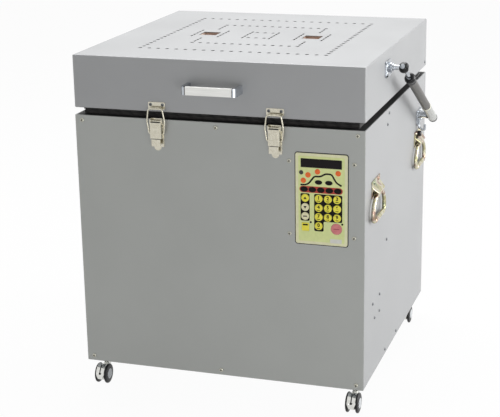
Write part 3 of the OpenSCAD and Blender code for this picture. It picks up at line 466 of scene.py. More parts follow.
def cut(pieces, tools, **settings):
    """Cuts every tool out of every piece, and removes the tools."""
    for piece in pieces:
        for tool in tools:
            modify(piece, "BOOLEAN", operation="DIFFERENCE", object=tool, solver="EXACT", **settings)
    for tool in tools:
        bpy.data.objects.remove(tool)


def cut_dark(piece, tool, **settings):
    """Cuts a tool out of a piece and colours the cut dark, as painted shade."""
    tool.data.materials.append(painted_shade_recess)
    cut([piece], [tool], material_mode="TRANSFER", **settings)


def add_beside(piece, node, material=None):
    """Gives a piece its finish and puts it beside a CAD node, on the same body."""
    if material:
        piece.data.materials.clear()
        piece.data.materials.append(material)
    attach(piece, BODY_OF[node])


def fit(piece, node, material=None):
    """Gives a piece its finish and puts it in the place of a CAD node, on the same body."""
    add_beside(piece, node, material)
    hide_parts(node)


# %% [markdown]
# ## Helpers for shapes
# Four kinds of blank cover most of the kiln: a box between two corners, a shape turned about an axis, a plate
# of a drawn outline, and a wire bent along points. Each is made by the operators that one would use by hand.


# %% Box, turned shape, plate and wire
def box_between(name, low, high):
    """A box from its low corner to its high corner, in metres."""
    low, high = Vector(low), Vector(high)
    clear()
    bpy.ops.mesh.primitive_cube_add(size=1, location=(low + high) / 2)
    piece = bpy.context.object
    piece.name = name
    piece.scale = high - low
    return settle(piece)


def block(name, low, high):
    """A box from its low corner to its high corner, in millimetres."""
    return box_between(name, spot(*low), spot(*high))


def turned(name, at, axis, profile, sides=40):
    """A shape turned about an axis through at. profile lists (along, radius) in mm, from its start face."""
    clear()
    along, radius = profile[0]
    bpy.ops.mesh.primitive_circle_add(vertices=sides, radius=radius * MM, fill_type="NGON")
    piece = bpy.context.object
    piece.name = name
    open_mesh(piece)
    bpy.ops.transform.translate(value=(0, 0, along * MM))
    for next_along, next_radius in profile[1:]:
        bpy.ops.mesh.extrude_region_move(TRANSFORM_OT_translate={"value": (0, 0, (next_along - along) * MM)})
        ratio = next_radius / radius
        bpy.ops.transform.resize(value=(ratio, ratio, 1), center_override=(0, 0, next_along * MM))
        along, radius = next_along, next_radius
    close_mesh()
    piece.rotation_euler = Vector(axis).to_track_quat("Z", "Y").to_euler()
    piece.location = at
    settle(piece)
    bpy.ops.object.shade_smooth_by_angle(angle=math.radians(35))
    return piece


def rounded_outline(width, height, radius, steps=6):
    """Points round a rectangle with round corners, about its middle, in the units it is given."""
    points = []
    for turn, (sx, sy) in enumerate(((1, 1), (-1, 1), (-1, -1), (1, -1))):
        centre = Vector((sx * (width / 2 - radius), sy * (height / 2 - radius)))
        for step in range(steps + 1):
            angle = math.pi / 2 * (turn + step / steps)
            points.append(centre + radius * Vector((math.cos(angle), math.sin(angle))))
    return points


def arc(centre, radius, degrees):
    """Points of an arc at the given degrees. A negative radius starts from the other side."""
    angles = [math.radians(d) for d in degrees]
    return [(centre[0] + radius * math.cos(a), centre[1] + radius * math.sin(a)) for a in angles]


def plate(name, outline, thickness, origin, across=X, up=Z):
    """A plate of an outline in mm. It lies in the plane of across and up at origin, and is as thick as
    thickness in mm towards across x up."""
    across, up = Vector(across), Vector(up)
    mesh = bpy.data.meshes.new(name)
    mesh.from_pydata([Vector(origin) + (across * p[0] + up * p[1]) * MM for p in outline], [],
                     [list(range(len(outline)))])
    piece = new_piece(name, mesh)
    open_mesh(piece)
    bpy.ops.mesh.extrude_region_move(
        TRANSFORM_OT_translate={"value": across.cross(up) * thickness * MM})
    close_mesh()
    return piece


def rounded_path(points, corner, steps=6, closed=False):
    """The points of a path in metres, with each bend drawn as a curve that starts corner before it."""
    count = len(points)
    path = []
    for i, point in enumerate(points):
        here = Vector(point)
        if not closed and i in (0, count - 1):
            path.append(here)
            continue
        before, after = Vector(points[i - 1]), Vector(points[(i + 1) % count])
        start = here + (before - here).normalized() * min(corner, (before - here).length * 0.45)
        end = here + (after - here).normalized() * min(corner, (after - here).length * 0.45)
        for step in range(steps + 1):
            t = step / steps
            path.append(start * (1 - t) ** 2 + here * 2 * t * (1 - t) + end * t * t)
    return path


def wire(name, path, radius, closed=False, sides=4):
    """A round wire of a radius in metres along a path of points, as a mesh with closed ends."""
    curve = bpy.data.curves.new(name, "CURVE")
    curve.dimensions = "3D"
    curve.bevel_depth = radius
    curve.bevel_resolution = sides
    curve.use_fill_caps = True
    spline = curve.splines.new("POLY")
    spline.points.add(len(path) - 1)
    for point, place in zip(spline.points, path):
        point.co = (*place, 1)
    spline.use_cyclic_u = closed
    pick(new_piece(name, curve))
    bpy.ops.object.convert(target="MESH")
    bpy.ops.object.shade_smooth_by_angle(angle=math.radians(50))
    return bpy.context.object


print("modelling helpers ready")

# %% [markdown]
# ## Finishes of the CAD nodes
# Sheets, boards and bricks have the right shape already, so they keep their CAD mesh and only get a finish.
# The same list gives a finish to the nodes that a more detailed piece replaces further down.

# %% A finish for every CAD node
FINISH_OF_SLOT = {
    "front_paint": front_paint, "case_paint": case_paint, "tray_steel": tray_zinc, "firebrick": firebrick,
    "fibre_board": fibre_board, "element_wire": element_wire, "shelf_ceramic": shelf_cordierite,
    "bright_zinc": bright_zinc, "nickel_plate": nickel, "yellow_zinc": yellow_zinc, "keypad_film": film_rim,
    "display_lens": display_lens, "control_plastic": inlet_plastic, "key_yellow": key_yellow,
    "key_cream": key_cream, "key_pink": key_pink, "seal_black": seal_rope, "stay_grey": stay_paint,
    "tyre_black": tyre_rubber,
}
for name, node in NODES.items():
    node.data.materials.clear()
    node.data.materials.append(FINISH_OF_SLOT[SLOT_OF[name]])
# The deck under the lid's gap is coloured black as painted shade, so that the gap reads dark.
NODES["top_deck"].data.materials[0] = painted_shade_black
NODES["controller_case"].data.materials[0] = tray_zinc
print("finishes for", len(NODES), "nodes")

# %% [markdown]
# ## Copies of CAD nodes with round edges
# Folded sheet has a bend radius of one or two millimetres, and a sharp edge shows at once that a thing is
# only computed. A CAD mesh is loose triangles, so a copy is merged to whole faces first. Then either every
# edge is bevelled, or only those along the corners of the box, which leaves the holes of the lid crisp.


# %% Copying and rounding
def copy_of(node, name):
    """A copy of a CAD node as a new piece, with its triangles merged to whole faces."""
    piece = new_piece(name, NODES[node].data.copy())
    open_mesh(piece)
    bpy.ops.mesh.remove_doubles(threshold=0.005 * MM)
    bpy.ops.mesh.dissolve_limited(angle_limit=math.radians(1))
    bpy.ops.object.mode_set(mode="OBJECT")
    return piece


def round_box_edges(piece, width_mm):
    """Rounds only the edges along the corners of the piece's own box."""
    corners = [Vector(corner) for corner in piece.bound_box]
    faces = [(axis, limit(corner[axis] for corner in corners)) for axis in range(3) for limit in (min, max)]
    pick(piece)
    bpy.ops.object.mode_set(mode="EDIT")
    bpy.context.tool_settings.mesh_select_mode = (False, True, False)
    bpy.ops.mesh.select_all(action="DESELECT")
    bpy.ops.object.mode_set(mode="OBJECT")
    for edge in piece.data.edges:
        ends = [piece.data.vertices[i].co for i in edge.vertices]
        on = [all(abs(end[axis] - level) < 1e-5 for end in ends) for axis, level in faces]
        edge.select = sum(on) >= 2
    bpy.ops.object.mode_set(mode="EDIT")
    bpy.ops.mesh.bevel(offset=width_mm * MM, segments=3, affect="EDGES")
    bpy.ops.object.mode_set(mode="OBJECT")
    return shade(piece)


# %% [markdown]
# ## Casing, lid and boards
# The lid is one deep folded sheet, so its bends are rounder than the trimmed edges of the front panel. The
# black rope that seals the lid is soft: a wide bevel makes its square section round.

# %% Sheets, seal and boards
for node, name, finish, width in (
        ("lid_shell", "lid_sheet", case_paint, 2.2),
        ("front_panel", "front_sheet", front_paint, 1.0),
        ("casing_wrap", "side_and_back_sheets", case_paint, 1.6)):
    fit(round_box_edges(copy_of(node, name), width), node, finish)
for node, finish, width in (
        ("base_tray", tray_zinc, 0.6),
        ("insulation_board", fibre_board, 1.5),
        ("kiln_furniture", shelf_cordierite, 1.2),
        ("body_gasket", seal_rope, 3.4),
        ("lid_seal_frame", seal_rope, 1.6),
        ("lid_insulation", lid_fibre, 2.0),
        ("hinge_body_leaves", bright_zinc, 0.4),
        ("hinge_lid_leaves", bright_zinc, 0.4),
        ("caster_plates", tray_zinc, 0.5),
        ("latch_bases", nickel, 0.35),
        ("power_inlet", inlet_plastic, 0.6)):
    fit(soften(copy_of(node, node + "_rounded"), width, segments=3), node, finish)
print("sheets and boards rounded")

# %% [markdown]
# ## Screws
# Every screw is a cross-recessed pan head. One head is turned, and two crossed slots are cut into it. The
# cutter brings its own dark colour, painted shade in the recess of the plated screw. Then the head is copied
# to each place, and each copy keeps its own mesh.


# %% Screw heads
def pan_head(radius, height, finish):
    """A screw head that faces +Z at the origin, its underside a little below the sheet."""
    head = turned("head", (0, 0, 0), Z, [
        (-0.3, radius), (0.3 * height, radius), (0.7 * height, 0.86 * radius), (height, 0.52 * radius)],
        sides=20)
    head.data.materials.append(finish)
    slot_half, slot_wide, slot_deep = 0.6 * radius, 0.16 * radius, 0.35 * height
    for across, along in ((slot_half, slot_wide), (slot_wide, slot_half)):
        cut_dark(head, block("cutter", (-across, -along, slot_deep), (across, along, 2 * height)))
    return head


def screws(name, head, placings):
    """Copies of a head at each (place in mm, direction that it faces, turn in degrees), as one piece."""
    copies = []
    for place, facing, turn in placings:
        copy = new_piece(name, head.data.copy())
        aim = Vector(facing).to_track_quat("Z", "Y").to_matrix().to_4x4()
        spin = Matrix.Rotation(math.radians(turn), 4, "Z")
        copy.data.transform(Matrix.Translation(spot(*place)) @ aim @ spin)
        copies.append(copy)
    bpy.data.objects.remove(head)
    return join(name, copies)


PANEL_SCREWS = [(x, z) for x in (-271, 0, 271) for z in (65, 552)]
CONTROLLER_SCREWS = [(x, z) for x in (141.75, 265.25) for z in (358, 498)]
SIDE_SCREWS = [(-86, 552), (-99, 532), (-96, 299), (-213, 205), (-154, 205), (-196, 171), (-155, 171),
               (-98, 66), (7, 66)]

fit(screws("front_screws", pan_head(4, 2.2, screw_zinc), [
    ((x, FACE_Y, z), FRONT, 17 * i) for i, (x, z) in enumerate(PANEL_SCREWS + CONTROLLER_SCREWS)]),
    "body_screws")
add_beside(screws("side_screws", pan_head(3, 1.8, dull_zinc), [
    ((side * SIDE_X, y, z), (side, 0, 0), 23 * i) for i, (y, z) in enumerate(SIDE_SCREWS)
    for side in (-1, 1)]), "body_screws")
add_beside(screws("lid_side_screws", pan_head(3, 1.8, dull_zinc), [
    ((side * SIDE_X, 268, 586.6), (side, 0, 0), 30) for side in (-1, 1)]), "lid_handle")
print("screws set")

# %% [markdown]
# ## Lid handle
# A flat brushed bar is held between two bright die-cast corners, and a dark line shows where they meet. The
# corners are drawn as a plate with a round outer edge and pulled up to the height of the bar. A black core
# in each joint is painted shade, so that the gap between bar and corner looks dark.

# %% Bar, corners and core of the lid handle
HANDLE_LOW, HANDLE_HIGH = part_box("lid_handle")
BAR_HALF, BAR_T, JOINT, CORNER_R = 45, 7, 2.8, 8
end_x, out_y = HANDLE_HIGH.x / MM, HANDLE_LOW.y / MM
low_z, high_z = HANDLE_LOW.z / MM, HANDLE_HIGH.z / MM
bar = box_between("handle_bar", (-BAR_HALF * MM, HANDLE_LOW.y, HANDLE_LOW.z),
                  (BAR_HALF * MM, HANDLE_LOW.y + BAR_T * MM, HANDLE_HIGH.z))
add_beside(soften(bar, 0.8, segments=3), "lid_handle", brushed_aluminium)
corner_outline = [(BAR_HALF + JOINT, out_y + BAR_T), (BAR_HALF + JOINT, out_y)]
corner_outline += arc((end_x - CORNER_R, out_y + CORNER_R), -CORNER_R, range(90, 181, 15))
corner_outline += [(end_x, FACE_Y), (end_x - BAR_T, FACE_Y), (end_x - BAR_T, out_y + BAR_T)]
ends, joint_shades = [], []
for side in (-1, 1):
    corner = plate("handle_corner", [(side * x, y) for x, y in corner_outline],
                   (HANDLE_HIGH.z - HANDLE_LOW.z) / MM, (0, 0, HANDLE_LOW.z), X, Y)
    ends.append(soften(corner, 0.9, segments=3))
    # The black cores are painted shade in the joints between bar and corners.
    joint_x = side * (BAR_HALF + JOINT / 2)
    joint_shades.append(soften(block("core", (joint_x - 3, out_y + 0.9, low_z + 0.8),
                              (joint_x + 3, out_y + BAR_T - 1, high_z - 0.8)), 0.3))
fit(join("handle_corners", ends), "lid_handle", chrome)
add_beside(join("handle_cores", joint_shades), "lid_handle", black_plastic)
print("lid handle of", round(2 * end_x), "mm")

# %% [markdown]
# ## Latches
# A draw latch is a pressed lever on a base plate, with a wire bail that hooks over a lip on the lid. The
# lever is pressed from sheet in one channel with a narrower thumb tab below. Its CAD shape gets a raised rib,
# and two cuts coloured dark as painted shade: the fold above the tab, and the open end over the pin. The bail
# is spring wire, drawn as a path with round bends. The keeper's lip is a strip that curls up, drawn from its
# side.

# %% Levers and bails
LATCH_X, LEVER_Y = 116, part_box("latch_lever_left")[0].y / MM
# These cuts are coloured dark as painted shade at the fold and over the pin.
LEVER_CUTS = ((12, 525, 526.6), (9.6, 557.2, 564))  # half width, low and high level
RIB_HALF, RIB_LOW, RIB_HIGH = 7.2, 530, 553.5
HALF_BAIL = [(9.5, -291, 535), (14.7, -291, 535), (17.7, -292.7, 559.2), (14, -294.4, 583.5)]
for side, side_name in ((-1, "left"), (1, "right")):
    middle = side * LATCH_X
    lever = soften(copy_of(f"latch_lever_{side_name}", f"lever_{side_name}"), 0.7, segments=3)
    for half, z_low, z_high in LEVER_CUTS:
        cut_dark(lever, block("cutter", (middle - half, LEVER_Y - 1, z_low),
                              (middle + half, LEVER_Y + 1.2, z_high)))
    rib = soften(block("rib", (middle - RIB_HALF, LEVER_Y - 0.5, RIB_LOW),
                       (middle + RIB_HALF, LEVER_Y + 1, RIB_HIGH)), 0.45)
    rib.data.materials.append(nickel)
    fit(join(f"lever_{side_name}", [rib, lever]), f"latch_lever_{side_name}")
    path = [spot(middle - x, y, z) for x, y, z in HALF_BAIL]
    path += [spot(middle + x, y, z) for x, y, z in reversed(HALF_BAIL)]
    bail = wire(f"bail_{side_name}", rounded_path(path, 5 * MM, steps=7), 1.6 * MM, sides=3)
    fit(bail, f"latch_bail_{side_name}", nickel)
print("levers and bails ready")

# %% Keepers
KEEPER_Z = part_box("latch_keepers")[0].z / MM
KEEPER_T, LIP_W = 1.5, 24
LIP_OUT, LIP_R, LIP_T, LIP_TOP = 7.5, 4, 1.5, 5.2
curl_centre = (LIP_OUT - LIP_R, LIP_R)
lip_outline = [(0, 0)] + arc(curl_centre, -LIP_R, range(90, 181, 15))
lip_outline += [(LIP_OUT, LIP_TOP), (LIP_OUT - LIP_T, LIP_TOP)]
lip_outline += arc(curl_centre, LIP_T - LIP_R, range(180, 89, -15)) + [(0, LIP_T)]
keepers = []
for side in (-1, 1):
    keeper_face = plate("keeper_face", rounded_outline(34, 14, 2.2), KEEPER_T,
                        spot(side * LATCH_X, FACE_Y, KEEPER_Z + 7))
    lip = plate("keeper_lip", lip_outline, LIP_W, spot(side * LATCH_X + LIP_W / 2, FACE_Y, KEEPER_Z), FRONT)
    keepers += [soften(keeper_face, 0.4), soften(lip, 0.35, angle=50)]
fit(join("keepers", keepers), "latch_keepers", nickel)
add_beside(screws("keeper_screws", pan_head(3.1, 1.4, dull_zinc), [
    ((side * LATCH_X + x, FACE_Y - KEEPER_T, KEEPER_Z + 9), FRONT, 20 + x)
    for side in (-1, 1) for x in (-12, 12)]), "latch_keepers")
print("keepers ready")

# %% [markdown]
# ## Keypad
# The keypad is one printed polyester film with domed keys. The film's clear edge is the CAD overlay. On it
# lies a printed face, a fraction of a millimetre thick, and on that the inks, each drawn as an outline and
# given a thickness that just shows. Both are cut with one set of cutters at the keys, so the keys can sink.

# %% Places on the keypad
PAD_LOW, PAD_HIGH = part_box("keypad_overlay")
PAD_X, PAD_Z = (PAD_LOW.x + PAD_HIGH.x) / 2 / MM, (PAD_LOW.z + PAD_HIGH.z) / 2 / MM
FILM_Y = PAD_LOW.y / MM
FACE_T, INK_T = 0.15, 0.12
KEY_R, KEY_PITCH, LARGE_R, KEY_SLACK = 7.5, 17.5, 10.5, 0.3
FIRST_X, FIRST_Z, COLUMN_X = -5.4, 1.6, -31.2
key_places = {f"key_{n}": (FIRST_X + (n - 1) % 3 * KEY_PITCH, FIRST_Z - (n - 1) // 3 * KEY_PITCH)
              for n in range(1, 10)}
key_places["key_0"] = (FIRST_X, FIRST_Z - 3 * KEY_PITCH)
for row, row_name in enumerate(("top", "middle", "bottom")):
    key_places[f"key_column_{row_name}"] = (COLUMN_X, FIRST_Z - row * KEY_PITCH)
LARGE_AT, SQUARE_AT, SQUARE_SIZE = (28.5, -54.4), (-30.8, -54), (14, 15.7)
DISPLAY_AT, DISPLAY_SIZE = (-0.5, 68.5), (78, 17)


def on_pad(x, z, depth=0.0):
    """A place on the keypad, from its middle, depth millimetres in front of the film."""
    return spot(PAD_X + x, FILM_Y - depth, PAD_Z + z)


def print_on_pad(name, outline, at=(0, 0), depth=FACE_T, thickness=INK_T):
    """A flat print of an outline, its middle at a place on the keypad."""
    return plate(name, outline, thickness, on_pad(*at, depth))


def smooth_outline(points, corner):
    """An outline through points, with its corners rounded."""
    return [(p.x, p.y) for p in rounded_path([Vector((x, y, 0)) for x, y in points], corner, closed=True)]


# %% Face, and black blocks behind the keys
round_keys = [(place, KEY_R, 32) for place in key_places.values()] + [(LARGE_AT, LARGE_R, 40)]
cutters = [turned("cutter", on_pad(*place, -2), FRONT, [(0, radius + KEY_SLACK), (6, radius + KEY_SLACK)],
                  sides=sides) for place, radius, sides in round_keys]
square_hole = rounded_outline(SQUARE_SIZE[0] + 2 * KEY_SLACK, SQUARE_SIZE[1] + 2 * KEY_SLACK, 1.8)
cutters.append(plate("cutter", square_hole, 6, on_pad(*SQUARE_AT, -2)))
key_cutters = join("key_cutters", cutters)

# A thin black plate behind the film's edge is painted shade: it makes a dark outline round the keypad.
shade_outline = print_on_pad("keypad_gasket", rounded_outline(102.2, 177.2, 5), depth=-1.2, thickness=0.5)
add_beside(shade_outline, "body_gasket", black_plastic)
face = print_on_pad("keypad_face", rounded_outline(88, 163, 2), depth=0, thickness=FACE_T)
number_block = [(-13.9, 10.6), (39.5, 10.6), (39.5, -41.6), (4.1, -41.6), (4.1, -61), (-13.9, -61)]
column_block = [(-39.9, 10.6), (-22.5, 10.6), (-22.5, -42.3), (-39.9, -42.3)]
ink = [print_on_pad("ink", smooth_outline(outline, 3)) for outline in (number_block, column_block)]
cut([face, *ink], [key_cutters])
cut([face], [print_on_pad("window", rounded_outline(*DISPLAY_SIZE, 0.3), DISPLAY_AT, -1, 3)])
add_beside(face, "keypad_overlay", keypad_film)
print("keypad face with", len(key_places) + 2, "key holes")

# %% Inks and sticker
RAMP = [(-40, 26.5), (-29.5, 27), (-23.5, 30.5), (-13.5, 44), (-2, 44), (8, 50), (19.5, 49.5), (24.5, 40),
        (28.5, 34), (35.5, 30)]
ramp_path = rounded_path([on_pad(x, z, FACE_T) for x, z in RAMP], 4 * MM, steps=4)
ramp_line = wire("ramp_line", ramp_path, 1.6 * MM, sides=2)
for vertex in ramp_line.data.vertices:
    vertex.co.y = min(max(vertex.co.y, (FILM_Y - FACE_T - INK_T) * MM), (FILM_Y - FACE_T + 0.1) * MM)
OVAL = [(6.9 * x, 4.3 * z) for x, z in arc((0, 0), 1, range(0, 360, 12))]
BAR_OVAL = [(1.05 * x, 1.2 * z) for x, z in OVAL]
BAR_Z = 18.5
ink += [print_on_pad("ink", OVAL, (x, 33), thickness=0.5) for x in (-5.5, 14)]
ink += [print_on_pad("ink", BAR_OVAL, (x, BAR_Z), FACE_T + INK_T, 0.4) for x in (-33, -17.2, -1.2, 15, 31)]
ink += [print_on_pad("ink", arc((0, 0), 2, range(0, 360, 20)), place)
        for place in ((-20.5, -44.4), (39.5, -44.4), (36.5, 29.5))]
add_beside(join("keypad_black_print", ink + [ramp_line]), "keypad_overlay", ink_black)
red_bar = print_on_pad("keypad_red_print", rounded_outline(82, 12.2, 6), (-0.8, BAR_Z))
add_beside(red_bar, "keypad_overlay", ink_red)
sticker = print_on_pad("blank_sticker", rounded_outline(22, 8, 0.8), (27.5, -78))
add_beside(sticker, "keypad_overlay", blank_label)
print(len(ink) + 3, "prints on the face")

# %% Lamps and display window
LAMP = [(-0.2, 5.3), (0.3, 5.0), (0.6, 3.6), (0.7, 1.5)]
SMALL_LAMP = [(along, 0.8 * radius) for along, radius in LAMP]
lamps = [turned("lamp", on_pad(x, z, FACE_T), FRONT, LAMP, sides=28)
         for x, z in ((-34.5, 35), (-25.5, 46), (-7.5, 53), (31.5, 52))]
add_beside(join("orange_lamps", lamps), "keypad_overlay", lamp_orange)
dark_lamp = turned("dark_lamp", on_pad(-38.5, 50, FACE_T), FRONT, SMALL_LAMP, sides=28)
add_beside(dark_lamp, "keypad_overlay", lamp_dark)
glass_outline = rounded_outline(*(size - 0.2 for size in DISPLAY_SIZE), 0.4)
fit(soften(print_on_pad("display_glass", glass_outline, DISPLAY_AT, -0.75, 0.85), 0.15), "display_window",
    display_lens)

# %% Domed keys with their numbers
KEY_BACK, KEY_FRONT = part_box("key_1")[1].y / MM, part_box("key_1")[0].y / MM
KEY_DEPTH = KEY_BACK - KEY_FRONT


def domed_key(node, x, z, radius):
    """A key cap that stands through the film, with a round edge and a flat top."""
    return turned(node + "_cap", spot(PAD_X + x, KEY_BACK, PAD_Z + z), FRONT, [
        (0, radius), (KEY_DEPTH - 0.7, radius), (KEY_DEPTH - 0.35, radius - 0.25),
        (KEY_DEPTH - 0.1, radius - 0.9), (KEY_DEPTH, radius - 2)], sides=40)


def number_on_key(text, x, z, size_mm):
    """A printed number, as a thin mesh that faces forwards."""
    clear()
    bpy.ops.object.text_add(location=(0, 0, 0))
    number = bpy.context.object
    number.data.body = text
    number.data.size = size_mm * MM
    number.data.extrude = 0.05 * MM
    number.data.offset = 0.3 * MM
    number.data.align_x, number.data.align_y = "CENTER", "CENTER"
    bpy.ops.object.convert(target="MESH")
    number = bpy.context.object
    number.rotation_euler = (math.pi / 2, 0, 0)
    number.location = spot(PAD_X + x, KEY_FRONT - 0.03, PAD_Z + z)
    return settle(number)


def sign_on_key(outline, x, z):
    """A printed sign of an outline on a key."""
    return plate("sign", outline, 0.09, spot(PAD_X + x, KEY_FRONT + 0.01, PAD_Z + z))


def finish_key(node, cap, mark, ink_material=ink_black):
    """Joins a cap and its mark, each with its own finish, and lets it stand for the CAD key."""
    cap.data.materials.append(FINISH_OF_SLOT[SLOT_OF[node]])
    mark.data.materials.clear()
    mark.data.materials.append(ink_material)
    fit(join(node + "_cap", [mark, cap]), node)


TRIANGLE = [(-3, -2), (3, -2), (0, 3)]
SIGNS = {"key_column_top": TRIANGLE, "key_column_middle": [(x, -z) for x, z in reversed(TRIANGLE)],
         "key_column_bottom": rounded_outline(8, 2, 0.9)}
for node, (x, z) in key_places.items():
    if node in SIGNS:
        mark = sign_on_key(SIGNS[node], x, z)
    else:
        dash = sign_on_key(rounded_outline(6, 1.3, 0.6), x, z - 4.4)
        mark = join("mark", [dash, number_on_key(node[-1], x, z + 1.6, 9)])
    finish_key(node, domed_key(node, x, z, KEY_R), mark)
large_mark = sign_on_key(rounded_outline(11, 2, 0.9), *LARGE_AT)
finish_key("key_large", domed_key("key_large", *LARGE_AT, LARGE_R), large_mark, ink_rose)
square = plate("key_square_cap", rounded_outline(*SQUARE_SIZE, 1.5), KEY_DEPTH,
               spot(PAD_X + SQUARE_AT[0], KEY_BACK, PAD_Z + SQUARE_AT[1]))
square_mark = sign_on_key(rounded_outline(10, 3, 1), SQUARE_AT[0], SQUARE_AT[1] + 4.2)
finish_key("key_square", soften(square, 0.5, segments=3), square_mark)
print(len(key_places) + 2, "keys and their prints ready")

# %% [markdown]
# ## Carry handles
# Each handle is a drop loop of 8 mm wire, bent wider below its neck, with a thicker grip. It hangs in a
# pressed plate whose lower half flares out as a hood over the pivot. The plate could be a block with a bevel,
# but a pressed sheet is hollow underneath, so its side profile is drawn with its real thickness and pulled
# along Y. Two rolled eyes hold the pivot bar of the loop.

# %% Plates, hoods and loops
CORNERS = [(f"{end_name}_{side_name}", side, end) for end_name, end in (("front", -1), ("rear", 1))
           for side_name, side in (("left", -1), ("right", 1))]
CARRY_X, CARRY_Y = SIDE_X + 7, 200
PLATE_TOP, NECK_Z, SHOULDER_Z, GRIP_Z = 453, 423, 405, 379
PLATE_L, HOOD_OUT, HOOD_TAPER, NECK_Y, WIDE_Y, GRIP_HALF = 64, 13, 0.22, 27, 46, 36
EYE_HALF, EYE_AT = 5, 17
HOOD_PROFILE = [(0, PLATE_TOP), (2, PLATE_TOP), (2, 443), (3, 441), (HOOD_OUT, 431), (HOOD_OUT, 428.2),
                (1.6, 439.4), (1.6, 421), (0, 421)]
LOOP = [(NECK_Y, NECK_Z), (WIDE_Y, SHOULDER_Z), (WIDE_Y, GRIP_Z), (-WIDE_Y, GRIP_Z), (-WIDE_Y, SHOULDER_Z),
        (-NECK_Y, NECK_Z)]
fittings = []
for side in (-1, 1):
    for y in (-CARRY_Y, CARRY_Y):
        outline = [(side * x, z - PLATE_TOP) for x, z in HOOD_PROFILE]
        hood = plate("hood", outline if side > 0 else outline[::-1], PLATE_L,
                     spot(side * SIDE_X, y + PLATE_L / 2, PLATE_TOP))
        for vertex in hood.data.vertices:
            lip = max(0.0, (abs(vertex.co.x) / MM - SIDE_X - 3) / (HOOD_OUT - 3))
            vertex.co.y = y * MM + (vertex.co.y - y * MM) * (1 - HOOD_TAPER * lip)
        eyes = [turned("eye", spot(side * CARRY_X, y + along - EYE_HALF, NECK_Z), Y, [
            (0, 4.2), (0.4, 4.6), (9.6, 4.6), (2 * EYE_HALF, 4.2)], sides=24) for along in (-EYE_AT, EYE_AT)]
        x_low, x_high = sorted((side * SIDE_X, side * (SIDE_X + 1.6)))
        strip = block("strip", (x_low, y - 30, 418.5), (x_high, y + 30, 431))
        fittings += [soften(hood, 0.5), *eyes, soften(strip, 0.5)]
fit(join("handle_hoods", fittings), "handle_plates", yellow_zinc)
add_beside(screws("handle_screws", pan_head(3.4, 1.6, yellow_zinc), [
    ((side * (SIDE_X + 2), y + along, PLATE_TOP - 5.5), (side, 0, 0), 40 + along)
    for side in (-1, 1) for y in (-CARRY_Y, CARRY_Y) for along in (-EYE_AT, EYE_AT)]), "handle_plates")

for corner_name, side, end in CORNERS:
    node = f"carry_handle_{corner_name}"
    path = rounded_path([spot(side * CARRY_X, end * CARRY_Y + y, z) for y, z in LOOP], 10 * MM, closed=True)
    loop = wire(node + "_loop", path, 3.9 * MM, closed=True)
    grip = turned("grip", spot(side * CARRY_X, end * CARRY_Y - GRIP_HALF, GRIP_Z), Y, [
        (0, 4.0), (1.5, 4.8), (4, 5), (68, 5), (70.5, 4.8), (2 * GRIP_HALF, 4.0)], sides=28)
    fit(join(node + "_loop", [grip, loop]), node, yellow_zinc)
print("carry handles ready")

# %% [markdown]
# ## Gas stay
# The stay runs from a stud on the side of the casing to a stud on the lid. From below it is a light sleeve
# with a ring, a dark tube, a black end fitting, a bright rod and a black ball socket. All of them are turned
# about the stay's own axis, so each is a list of lengths and radii. Lengths count from the casing pivot, or
# from the end of the tube. The tube is bored out and the rod ends in a piston, because the rod slides out of
# the tube when the lid is lifted.

# %% Axis of the stay
BRACKET_T = 3
STAY_X = SIDE_X + 30
BODY_PIVOT, LID_PIVOT = Vector((STAY_X, 200, 486)), Vector((STAY_X, -99, 644))
STAY_WAY = (LID_PIVOT - BODY_PIVOT).normalized()
STAY_LEN = (LID_PIVOT - BODY_PIVOT).length
TUBE_END = STAY_LEN - 62


def along_stay(distance):
    """The place on the axis of the stay at a distance in mm from the casing pivot."""
    return (BODY_PIVOT + STAY_WAY * distance) * MM


def stay_part(name, profile, start=0, sides=36):
    """A part turned about the stay's axis. Its profile counts from start."""
    profile = [(start + along, radius) for along, radius in profile]
    return turned(name, along_stay(0), STAY_WAY, profile, sides)


print("stay", round(STAY_LEN), "mm long at", round(math.degrees(math.asin(STAY_WAY.z)), 1), "degrees")

# %% Tube, sleeve and end fitting
SLEEVE_END, RING_L, BORE_START, BORE_R, ROD_R = 72, 5, 8, 7.5, 4
tube = stay_part("stay_tube", [
    (SLEEVE_END, 8.9), (SLEEVE_END + 1, 9), (TUBE_END - 26, 9), (TUBE_END - 25, 8.6)])
sleeve = stay_part("stay_sleeve", [
    (-24, 5.5), (-23, 7.2), (-21, 8.4), (-18, 9.1), (SLEEVE_END - RING_L, 9.1),
    (SLEEVE_END - RING_L + 0.5, 8.9)])
add_beside(sleeve, "stay_cylinder", stay_silver)
ring = stay_part("stay_ring", [
    (SLEEVE_END - RING_L, 9.2), (SLEEVE_END - RING_L + 0.6, 9.7), (SLEEVE_END - 0.6, 9.7), (SLEEVE_END, 9.2)])
add_beside(ring, "stay_cylinder", cream_ring)
gland = stay_part("stay_gland", [
    (-26, 8.8), (-25, 9.4), (-20, 9.4), (-18, 8.6), (-16, 9.2), (-12, 10.9), (-7, 11.2), (-3, 10), (-1, 8),
    (0, 6.5)], start=TUBE_END)
tail_cap = stay_part("stay_tail_cap", [
    (-26, 4.5), (-25.6, 6.6), (-24, 8.4), (-22, 9.3), (-18.5, 9.6), (-18, 9)])
bore = stay_part("bore", [
    (BORE_START, BORE_R), (TUBE_END - 12, BORE_R), (TUBE_END - 11.9, ROD_R + 0.2),
    (TUBE_END + 2, ROD_R + 0.2)], sides=28)
cut([tube, gland], [bore])
fit(shade(tube), "stay_cylinder", stay_paint)
lever_start = along_stay(TUBE_END - 8) + spot(7, 4, 1)
release = wire("stay_release", [lever_start, lever_start + spot(5, 6, 4), lever_start + spot(7, 12, 8)],
               2.4 * MM, sides=3)
hub = turned("stay_hub", BODY_PIVOT * MM, LEFT, [(0, 7), (9.2, 7.4), (10, 6.8)], sides=28)
